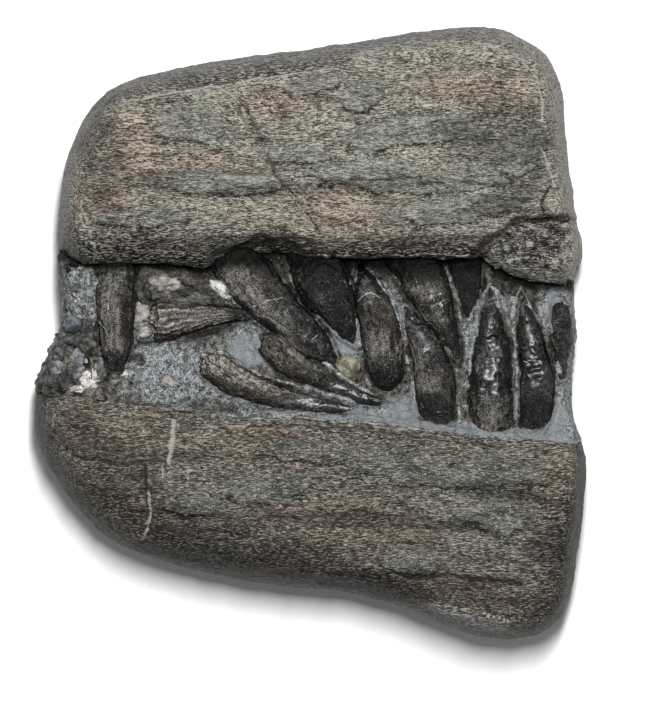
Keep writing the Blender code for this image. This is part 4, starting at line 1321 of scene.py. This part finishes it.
class FOSSIL_JAW_OT_rock(Operator):
    """Builds the rock between the jaws, cut back so that the teeth stand out of it"""

    bl_idname = "fossil_jaw.rock"
    bl_label = "Cut-back rock"

    def execute(self, context):
        top = [(x, y + 2.0) for x, y in rough_edge(UPPER_EDGE, -0.15, 0.2, 2.0)]
        bottom = [(x, y - 0.5) for x, y in rough_edge(LOWER_EDGE, -0.15, 0.4, 5.0)]
        line = zone_line(
            lambda x, y: edge_y(LOWER_EDGE, x) - 0.6 < y < edge_y(UPPER_EDGE, x) + 1.85, top + bottom
        )
        rock = make_slab("rock", 214, 72, 24)
        shape_zone(rock, np.array([0.0, -3.0]), line, self.front)
        points = read_points(rock)
        normals = read_normals(rock)
        x, y = points[:, 0], points[:, 1]
        crumbly = soft_step(-x, 60, 80)
        clean = patches(x, y, CLEAN_ROCK, 0.9)
        rough = (1 - 0.6 * clean) * (1.0 * fractal(points, 6, 4, 2.2) + 0.45 * fractal(points, 1.8, 2, 6.1))
        chunks = crumbly * 4.0 * (0.22 - np.abs(fractal(points, 6, 3, 4.4)))
        under = soft_step(normals[:, 2], -0.8, -0.5)
        points = points + normals * ((rough + chunks) * under)[:, None]
        points[:, 2] = np.maximum(points[:, 2], 0)
        write_points(rock, points)
        rim = self.halo
        for rim_line, _ in RIMS:
            rim = np.maximum(rim, 0.9 * np.exp(-((distance_to_line(x, y, rim_line) / 0.75) ** 2)))
        pit = np.zeros(len(x))
        for hole_x, hole_y, size, _ in BED_HOLES:
            pit = np.maximum(pit, np.exp(-(((x - hole_x) ** 2 + (y - hole_y) ** 2) / size**2)))
        store_relief(rock)
        flat = soft_step(read_normals(rock)[:, 2], 0.1, 0.6)
        store(rock, "clean", clean * flat + (0.45 + 0.5 * soft_step(x, 78, 88)) * (1 - flat))
        smooth = np.exp(-(((y - edge_y(LOWER_EDGE, x)) / 4.5) ** 2)) * soft_step(x, -20, 20)
        store(rock, "smooth", np.maximum(smooth, patches(x, y, SMOOTH_ROCK, 0.8)) * flat)
        store(rock, "crevice_shade", self.crevice_shade)
        store(rock, "rim", rim)
        store(rock, "pit", pit)
        finish_piece(rock, "matrix", rock_material())
        return {"FINISHED"}

    def front(self, x, y):
        """The rock's surface round the teeth. Keeps its pale halos, and the painted shade of the crevices
        round the teeth and of the gap under the ledge, for execute.
        """
        height = bed_height(x, y)
        wander = fractal(np.column_stack([x, y, np.zeros_like(x)]), 7, 3, 1.0)
        self.halo = np.zeros(len(x))
        self.crevice_shade = np.zeros(len(x))
        for name, facts in TEETH.items():
            near = distance_to_tooth(x, y, name)
            beside = np.maximum(near, 0)
            skirt = facts["skirt"] * np.exp(-((beside / 2.6) ** 2))
            height += skirt * soft_step(near, -1.5, 0.3) * (1 + wander)
            height -= facts["groove"] * np.exp(-(((near - 0.2) / 0.7) ** 2))
            halo = facts.get("halo", 0) * np.exp(-(((near - 0.7) / 0.55) ** 2)) * (0.7 + wander)
            self.halo = np.maximum(self.halo, halo)
            # Painted shade: a dark band in the crevice round each tooth
            crevice_shade = np.exp(-(((near - 0.1) / 0.55) ** 2)) * facts["groove"]
            self.crevice_shade = np.maximum(self.crevice_shade, crevice_shade)
        # Painted shadow in the gap under the upper jaw's ledge
        gap = 1 - gap_light(x, y)
        self.crevice_shade = np.maximum(self.crevice_shade, 1.2 * gap)
        for line, rise in RIMS:
            away = distance_to_line(x + 0.7 * wander, y + 0.4 * wander, line)
            height += rise * np.exp(-away / (sizes().rim_width / MM)) * np.clip(0.85 + 0.7 * wander, 0.2, 1.4)
        for line, width, depth in GROOVES:
            height -= depth * np.exp(-((distance_to_line(x, y, line) / width) ** 2))
        return np.minimum(stone().front(x, y), height)


def distance_to_tooth(x, y, name):
    """Distance in plan from each point to a tooth's edge, less than nothing inside it."""
    centres, radii = tooth_stations(name, 50)
    near = np.full(len(x), 1e9)
    for (tooth_x, tooth_y, _), radius in zip(centres, radii):
        near = np.minimum(near, np.hypot(x - tooth_x, y - tooth_y) - radius)
    return near


def make_tooth(name, sides=72, rings=150):
    """A tooth swept along its line: bent tube, ribs and lumps on the root, steps where it has broken."""
    facts = TEETH[name]
    centres, radii = tooth_stations(name, rings + 1)
    deselect_all()
    bpy.ops.mesh.primitive_cylinder_add(vertices=sides, radius=1, depth=2, end_fill_type="TRIFAN")
    tooth = bpy.context.object
    tooth.name = tooth.data.name = f"fossil_{name}"
    bpy.ops.object.mode_set(mode="EDIT")
    select_where(tooth, test_edge=lambda edge: abs(edge.verts[0].co.z - edge.verts[1].co.z) > 1)
    bpy.ops.mesh.subdivide(number_cuts=rings // 3 - 1)
    select_where(tooth, test_edge=lambda edge: abs(edge.verts[0].co.z - edge.verts[1].co.z) > 1e-4)
    bpy.ops.mesh.subdivide(number_cuts=2)
    bpy.ops.object.mode_set(mode="OBJECT")
    a, b, c = read_points(tooth).T
    along = (c + 1) / 2
    around = np.arctan2(b, a)
    middle = np.hypot(a, b) < 0.5

    place = along * rings
    stations = np.arange(rings + 1)
    centre = np.column_stack([np.interp(place, stations, centres[:, axis]) for axis in range(3)])
    blunt = np.sqrt(1 - (1 - np.clip(along / 0.08, 0, 1)) ** 2)
    radius = np.interp(place, stations, radii) * ~middle * np.maximum(blunt, 0.25)
    tangents = np.gradient(centres, axis=0)
    tangents /= np.linalg.norm(tangents, axis=1)[:, None]
    tangent = np.column_stack([np.interp(place, stations, tangents[:, axis]) for axis in range(3)])
    sideways = np.cross(tangent, (0, 0, 1))
    sideways /= np.linalg.norm(sideways, axis=1)[:, None]
    upward = np.cross(sideways, tangent)
    cos, sin = np.cos(around), np.sin(around)
    ring = sideways * cos[:, None] + upward * (TOOTH_FLATNESS * sin)[:, None]
    seed = sum(map(ord, name)) % 17 + 0.37

    points = centre + ring * radius[:, None]
    crown_start = facts["crown"]
    crown = soft_step(along, crown_start, crown_start + 0.06)
    rib = np.cos(around * 15 + 3 * fractal(points, 9, 2, seed)) * (1 - crown) * facts.get("ribbed", 0.011)
    fine_lumps = 0.060 * (1 - 0.6 * crown) * fractal(points, 3, 4, seed + 3)
    lumpy = facts["lumps"] * (0.105 * fractal(points, 9, 3, seed) + fine_lumps)
    flaked = soft_step(fractal(points, 6, 3, seed + 11), 0.07, 0.14) * (1 - 0.5 * crown)
    start, end = facts.get("chipped", (2.0, 2.0))
    chipped = soft_step(along, start - 0.04, start + 0.04) * (1 - soft_step(along, end - 0.04, end + 0.04))
    chips = chipped * (0.26 * np.abs(fractal(points, 7, 2, seed + 5)) - 0.03)
    swell = 1 + rib + lumpy - 0.55 * flaked / np.maximum(radius, 3) - chips
    ragged = fractal(points, 4, 2, seed + 6) * 0.035
    for position, depth in facts["breaks"]:
        beyond = soft_step(along + ragged, position - 0.012, position + 0.012)
        swell -= depth * beyond / np.maximum(radius, 3) * 0.55
        notch = np.exp(-(((along + ragged - position) / 0.011) ** 2))
        swell -= 0.35 * abs(depth) * notch / np.maximum(radius, 3)
    points = centre + ring * (radius * swell)[:, None]
    torn = (1 - soft_step(along, 0.0, 0.14)) * facts.get("torn", 0.0)
    points = points + tangent * (torn * (0.6 + fractal(points, 3.5, 3, seed + 8)))[:, None]
    write_points(tooth, points)
    bpy.ops.object.mode_set(mode="EDIT")
    bpy.ops.mesh.select_all(action="SELECT")
    bpy.ops.mesh.normals_make_consistent(inside=False)
    bpy.ops.object.mode_set(mode="OBJECT")
    store_relief(tooth)
    points = read_points(tooth)
    x, y = points[:, 0], points[:, 1]
    store(tooth, "pale", np.full(len(x), facts.get("pale", 1.0)))
    store(tooth, "dust_and_highlight", patches(x, y, DUST_AND_HIGHLIGHT_PATCHES, 0.8))
    store(tooth, "black", patches(x, y, BLACK_AND_SHADOW_PATCHES, 0.8))
    store(tooth, "glossy", patches(x, y, GLOSS_AND_SHEEN_PATCHES, 0.7))
    store(tooth, "shaded", 1 - gap_light(x, y))
    low, high = facts["brown"]
    brown = soft_step(along, low - 0.06, low + 0.06) * (1 - soft_step(along, high - 0.06, high + 0.06))
    store(tooth, "along", along)
    store(tooth, "around", (around / math.pi + 1) / 2)
    store(tooth, "top", np.clip(read_normals(tooth)[:, 2], 0, 1))
    store(tooth, "crown", crown)
    store(tooth, "brown", brown if high > 0 else np.zeros(len(along)))
    return tooth


def build_teeth(names):
    if "tooth" not in _kept:
        _kept["tooth"] = tooth_material("tooth")
    for name in names:
        tooth = make_tooth(name)
        node = REPLACED_NODE.get(name, name)
        finish_piece(tooth, node, _kept["tooth"])


class FOSSIL_JAW_OT_upper_teeth(Operator):
    """Builds the teeth that grow down from the upper jaw"""

    bl_idname = "fossil_jaw.upper_teeth"
    bl_label = "Upper teeth"

    def execute(self, context):
        build_teeth([name for name in TEETH if REPLACED_NODE.get(name) == "upper_jaw"])
        return {"FINISHED"}


class FOSSIL_JAW_OT_lower_teeth(Operator):
    """Builds the teeth that grow up from the lower jaw"""

    bl_idname = "fossil_jaw.lower_teeth"
    bl_label = "Lower teeth"

    def execute(self, context):
        build_teeth([name for name in TEETH if REPLACED_NODE.get(name) == "lower_jaw"])
        return {"FINISHED"}


class FOSSIL_JAW_OT_loose_teeth(Operator):
    """Builds the loose teeth and the loose split root that lie in the rock"""

    bl_idname = "fossil_jaw.loose_teeth"
    bl_label = "Loose teeth"

    def execute(self, context):
        build_teeth([name for name in TEETH if name not in REPLACED_NODE])
        return {"FINISHED"}


def make_pebble(name, centre, radii, seed, subdivisions=5, roughness=0.12):
    """An uneven rounded stone."""
    deselect_all()
    bpy.ops.mesh.primitive_ico_sphere_add(subdivisions=subdivisions, radius=1)
    pebble = bpy.context.object
    pebble.name = pebble.data.name = name
    points = read_points(pebble)
    uneven = 1 + roughness * fractal(points, 0.7, 3, seed)
    write_points(pebble, points * np.array(radii) * uneven[:, None] + np.array(centre))
    return pebble


class FOSSIL_JAW_OT_nodules(Operator):
    """Builds the rounded stones held in the rock"""

    bl_idname = "fossil_jaw.nodules"
    bl_label = "Rounded stones"

    def execute(self, context):
        for index, (name, ((x, y), (radius_x, radius_y), half_height, tint)) in enumerate(NODULES.items()):
            height = bed_height(np.array([x]), np.array([y]))[0]
            radii = (radius_x, radius_y, half_height)
            pebble = make_pebble(f"fossil_{name}", (x, y, height), radii, 3.1 * index + 0.4)
            finish_piece(pebble, name, pebble_material(name, tint))
        return {"FINISHED"}


# Broken bits in the rock at the left end: x, y, half sizes, kind
BITS = [
    (-85.5, -1.5, 5.2, 3.8, 3.4, "dark"), (-88.5, -6.5, 4.2, 3.2, 3.0, "dark"),
    (-80.5, -3.2, 4.0, 4.6, 3.2, "dark"), (-88.6, 0.6, 2.6, 2.0, 2.2, "cream"),
    (-84.0, -20.0, 2.6, 1.3, 1.6, "calcite"), (-77.5, -14.5, 1.4, 2.6, 1.6, "calcite"),
    (-53, 17.8, 5.2, 3.0, 2.6, "cream"), (-46.5, 16.0, 3.6, 2.2, 2.4, "dark"),
    (-41, 12.5, 6.0, 2.8, 2.6, "dark"), (-48, 10.8, 6.0, 2.0, 2.4, "dark"),
    (-60, 15.0, 3.0, 4.4, 2.6, "dark"), (-61, 7.5, 2.8, 3.8, 3.0, "cream"),
    (-60.5, 0.8, 3.4, 2.4, 2.6, "cream"), (-80, -18.0, 4.0, 2.0, 2.2, "calcite"),
    (-84.5, -14.5, 3.0, 2.4, 2.2, "grey"), (-91.0, -12.8, 3.4, 2.6, 2.4, "grey"),
    (-93.5, -17.2, 3.0, 2.0, 2.0, "dark"), (-76.4, -12.6, 2.4, 3.4, 2.2, "grey"),
    (-31.5, 15.2, 5.4, 2.0, 2.2, "white"), (-52, -16.8, 4.6, 1.3, 1.2, "cream"),
]

# Degrees that some of the bits are turned by, by their place
BIT_TURNS = {(-31.5, 15.2): -40, (-52, -16.8): -28, (-41, 12.5): -12}
BIT_COLOURS = {
    "dark": (0.05, 0.048, 0.046),
    "grey": (0.14, 0.145, 0.15),
    "cream": (0.21, 0.205, 0.185),
    "white": (0.36, 0.37, 0.365),
    "calcite": (0.42, 0.41, 0.38),
}


class FOSSIL_JAW_OT_broken_bits(Operator):
    """Builds the broken bits of bone, rock and calcite that are held in the rock"""

    bl_idname = "fossil_jaw.broken_bits"
    bl_label = "Broken bits"

    def execute(self, context):
        rows = [(*row, BIT_TURNS.get(row[:2], 0)) for row in BITS]
        dice = np.random.default_rng(7)
        for _ in range(sizes().crumbs):
            x, y = dice.uniform(-96, -60), dice.uniform(-20, 22)
            size = dice.uniform(0.7, 1.9)
            kind = dice.choice(["dark", "grey", "cream", "dark", "calcite"])
            rows.append((x, y, size * dice.uniform(0.9, 1.6), size, size * 0.8, kind, dice.uniform(0, 180)))
        made = {kind: [] for kind in BIT_COLOURS}
        for index, (x, y, half_x, half_y, half_z, kind, turn) in enumerate(rows):
            spot = np.array([x]), np.array([y])
            if stone().rounding(*spot)[0][0] < 0.8 * max(half_x, half_y):
                continue
            height = min(bed_height(*spot)[0], stone().front(*spot)[0])
            detail = 4 if half_x > 2 else 3
            bit = make_pebble("bit", (0, 0, 0), (half_x, half_y, half_z), index * 1.3, detail, 0.55)
            points = read_points(bit)
            cos, sin = math.cos(math.radians(turn)), math.sin(math.radians(turn))
            bit_x = points[:, 0] * cos - points[:, 1] * sin + x
            bit_y = points[:, 0] * sin + points[:, 1] * cos + y
            bit_z = points[:, 2] + height - half_z * 0.15
            write_points(bit, np.column_stack([bit_x, bit_y, bit_z]))
            made[kind].append(bit)
        for kind, bits in made.items():
            deselect_all()
            for bit in bits:
                bit.select_set(True)
            bpy.context.view_layer.objects.active = bits[0]
            bpy.ops.object.join()
            bits[0].name = bits[0].data.name = f"broken_bits_{kind}"
            finish_piece(bits[0], None, pebble_material(f"broken_{kind}", BIT_COLOURS[kind]))
        return {"FINISHED"}


class FOSSIL_JAW_OT_veins(Operator):
    """Lays the thin veins of calcite on the teeth that they cross"""

    bl_idname = "fossil_jaw.veins"
    bl_label = "Calcite veins"

    def execute(self, context):
        trees = {}
        made = []
        for index, (carrier, line, width) in enumerate(TOOTH_VEINS):
            if carrier not in trees:
                mesh = bpy.data.objects[f"fossil_{carrier}"].data
                corners = [vertex.co for vertex in mesh.vertices]
                faces = [polygon.vertices[:] for polygon in mesh.polygons]
                trees[carrier] = BVHTree.FromPolygons(corners, faces)
            length = sum(math.dist(a, b) for a, b in zip(line, line[1:]))
            rings = max(8, round(length / 0.5))
            flat_line = np.column_stack([np.array(line, float), np.zeros(len(line))])
            centres, _ = smooth_line(flat_line, np.ones(len(line)), rings + 1)
            sway = fractal(centres, 6, 3, index * 2.1) * 0.9
            across = np.cross(np.gradient(centres, axis=0), (0, 0, 1))
            across /= np.linalg.norm(across, axis=1)[:, None]
            centres = centres + across * sway[:, None]
            last = None
            for centre in centres:
                start_x, start_y, _ = (centre + stone().shift) * MM
                start = Vector((start_x, start_y, 0.2))
                hit = trees[carrier].ray_cast(start, Vector((0, 0, -1)))[0]
                last = hit or last or Vector((start.x, start.y, 0.05))
                centre[:] = (last.x / MM - stone().shift[0], last.y / MM - stone().shift[1], last.z / MM)
            taper = np.sin(np.linspace(0.12, math.pi - 0.12, rings + 1)) ** 0.4
            half = width / 2 * taper * (0.75 + 0.8 * np.abs(fractal(centres, 3, 2, index + 0.5)))
            made.append(self.ribbon(centres, half, across, rings))
        deselect_all()
        for vein in made:
            vein.select_set(True)
        bpy.context.view_layer.objects.active = made[0]
        bpy.ops.object.join()
        made[0].name = made[0].data.name = "calcite_veins"
        finish_piece(made[0], None, calcite_material())
        return {"FINISHED"}

    def ribbon(self, centres, half, across, rings):
        """A flat closed strip along the centres, just proud of the tooth."""
        deselect_all()
        bpy.ops.mesh.primitive_cylinder_add(vertices=8, radius=1, depth=2, end_fill_type="TRIFAN")
        vein = bpy.context.object
        bpy.ops.object.mode_set(mode="EDIT")
        select_where(vein, test_edge=lambda edge: abs(edge.verts[0].co.z - edge.verts[1].co.z) > 1)
        bpy.ops.mesh.subdivide(number_cuts=min(rings, 100) - 1)
        bpy.ops.object.mode_set(mode="OBJECT")
        a, b, c = read_points(vein).T
        place = (c + 1) / 2 * rings
        stations = np.arange(rings + 1)
        centre = np.column_stack([np.interp(place, stations, centres[:, axis]) for axis in range(3)])
        side = np.column_stack([np.interp(place, stations, across[:, axis]) for axis in range(3)])
        width = np.interp(place, stations, half)
        points = centre + side * (a * width)[:, None]
        points[:, 2] += b * np.minimum(width * 0.5, 0.22) + 0.02
        write_points(vein, points)
        bpy.ops.object.mode_set(mode="EDIT")
        bpy.ops.mesh.select_all(action="SELECT")
        bpy.ops.mesh.normals_make_consistent(inside=False)
        bpy.ops.object.mode_set(mode="OBJECT")
        return vein


class FOSSIL_JAW_OT_stage(Operator):
    """Sets the pale floor, the soft studio light from above the upper jaw, and the camera overhead"""

    bl_idname = "fossil_jaw.stage"
    bl_label = "Stage"

    def execute(self, context):
        deselect_all()
        bpy.ops.mesh.primitive_plane_add(size=8, location=(0, 0, 0))
        floor = bpy.context.object
        floor.name = "floor"
        paint = Paint("floor")
        grain = paint.noise(paint.place, 40, 2)
        paint.finish(paint.mix(grain, colours().floor, tuple(c * 0.985 for c in colours().floor)), 0.9)
        floor.data.materials.append(paint.material)

        world = bpy.data.worlds.new("studio")
        bpy.context.scene.world = world
        world.use_nodes = True
        world.node_tree.nodes["Background"].inputs["Color"].default_value = (1, 1, 1, 1)
        world.node_tree.nodes["Background"].inputs["Strength"].default_value = WORLD_LIGHT
        self.area_light("key", KEY_LIGHT_PLACE, KEY_LIGHT_SIZE, KEY_LIGHT_POWER)

        frame_height = PHOTO_HEIGHT * PHOTO_SCALE * MM
        place = np.array([*CAMERA_PLACE, 0]) * MM + stone().shift * MM
        height = WAIST_HEIGHT * MM + CAMERA_DISTANCE
        bpy.ops.object.camera_add(location=(place[0], place[1], height), rotation=(0, 0, 0))
        camera = bpy.context.object
        camera.data.sensor_width = SENSOR_WIDTH
        camera.data.lens = SENSOR_WIDTH * CAMERA_DISTANCE / frame_height
        camera.data.clip_end = 20
        scene = bpy.context.scene
        scene.camera = camera
        scene.view_settings.view_transform = "Standard"
        scene.view_settings.look = "None"
        return {"FINISHED"}

    def area_light(self, name, location, size, power):
        data = bpy.data.lights.new(name, "AREA")
        data.shape = "RECTANGLE"
        data.size, data.size_y = size
        data.energy = power
        light = bpy.data.objects.new(name, data)
        bpy.context.collection.objects.link(light)
        light.location = location
        light.rotation_euler = (Vector((0, 0, 0.03)) - Vector(location)).to_track_quat("-Z", "Y").to_euler()


class FOSSIL_JAW_PT_panel(Panel):
    """Lists the steps that build the jaw"""

    bl_idname = "FOSSIL_JAW_PT_panel"
    bl_label = "Fossil jaw"
    bl_space_type = "VIEW_3D"
    bl_region_type = "UI"
    bl_category = "Fossil jaw"

    def draw(self, context):
        for operator in OPERATORS:
            self.layout.operator(operator.bl_idname)
        for group in (context.scene.fossil_jaw_sizes, context.scene.fossil_jaw_colours):
            for name in group.__annotations__:
                self.layout.prop(group, name)


OPERATORS = (
    FOSSIL_JAW_OT_upper_jaw,
    FOSSIL_JAW_OT_lower_jaw,
    FOSSIL_JAW_OT_rock,
    FOSSIL_JAW_OT_upper_teeth,
    FOSSIL_JAW_OT_lower_teeth,
    FOSSIL_JAW_OT_loose_teeth,
    FOSSIL_JAW_OT_nodules,
    FOSSIL_JAW_OT_broken_bits,
    FOSSIL_JAW_OT_veins,
    FOSSIL_JAW_OT_stage,
)
CLASSES = (FossilJawSizes, FossilJawColours, *OPERATORS, FOSSIL_JAW_PT_panel)


def register():
    for cls in CLASSES:
        bpy.utils.register_class(cls)
    bpy.types.Scene.fossil_jaw_sizes = PointerProperty(type=FossilJawSizes)
    bpy.types.Scene.fossil_jaw_colours = PointerProperty(type=FossilJawColours)


def unregister():
    del bpy.types.Scene.fossil_jaw_colours
    del bpy.types.Scene.fossil_jaw_sizes
    for cls in reversed(CLASSES):
        bpy.utils.unregister_class(cls)


def main():
    register()
    bpy.ops.fossil_jaw.upper_jaw()
    bpy.ops.fossil_jaw.lower_jaw()
    bpy.ops.fossil_jaw.rock()
    bpy.ops.fossil_jaw.upper_teeth()
    bpy.ops.fossil_jaw.lower_teeth()
    bpy.ops.fossil_jaw.loose_teeth()
    bpy.ops.fossil_jaw.nodules()
    bpy.ops.fossil_jaw.broken_bits()
    bpy.ops.fossil_jaw.veins()
    bpy.ops.fossil_jaw.stage()


if __name__ == "__main__":
    main()
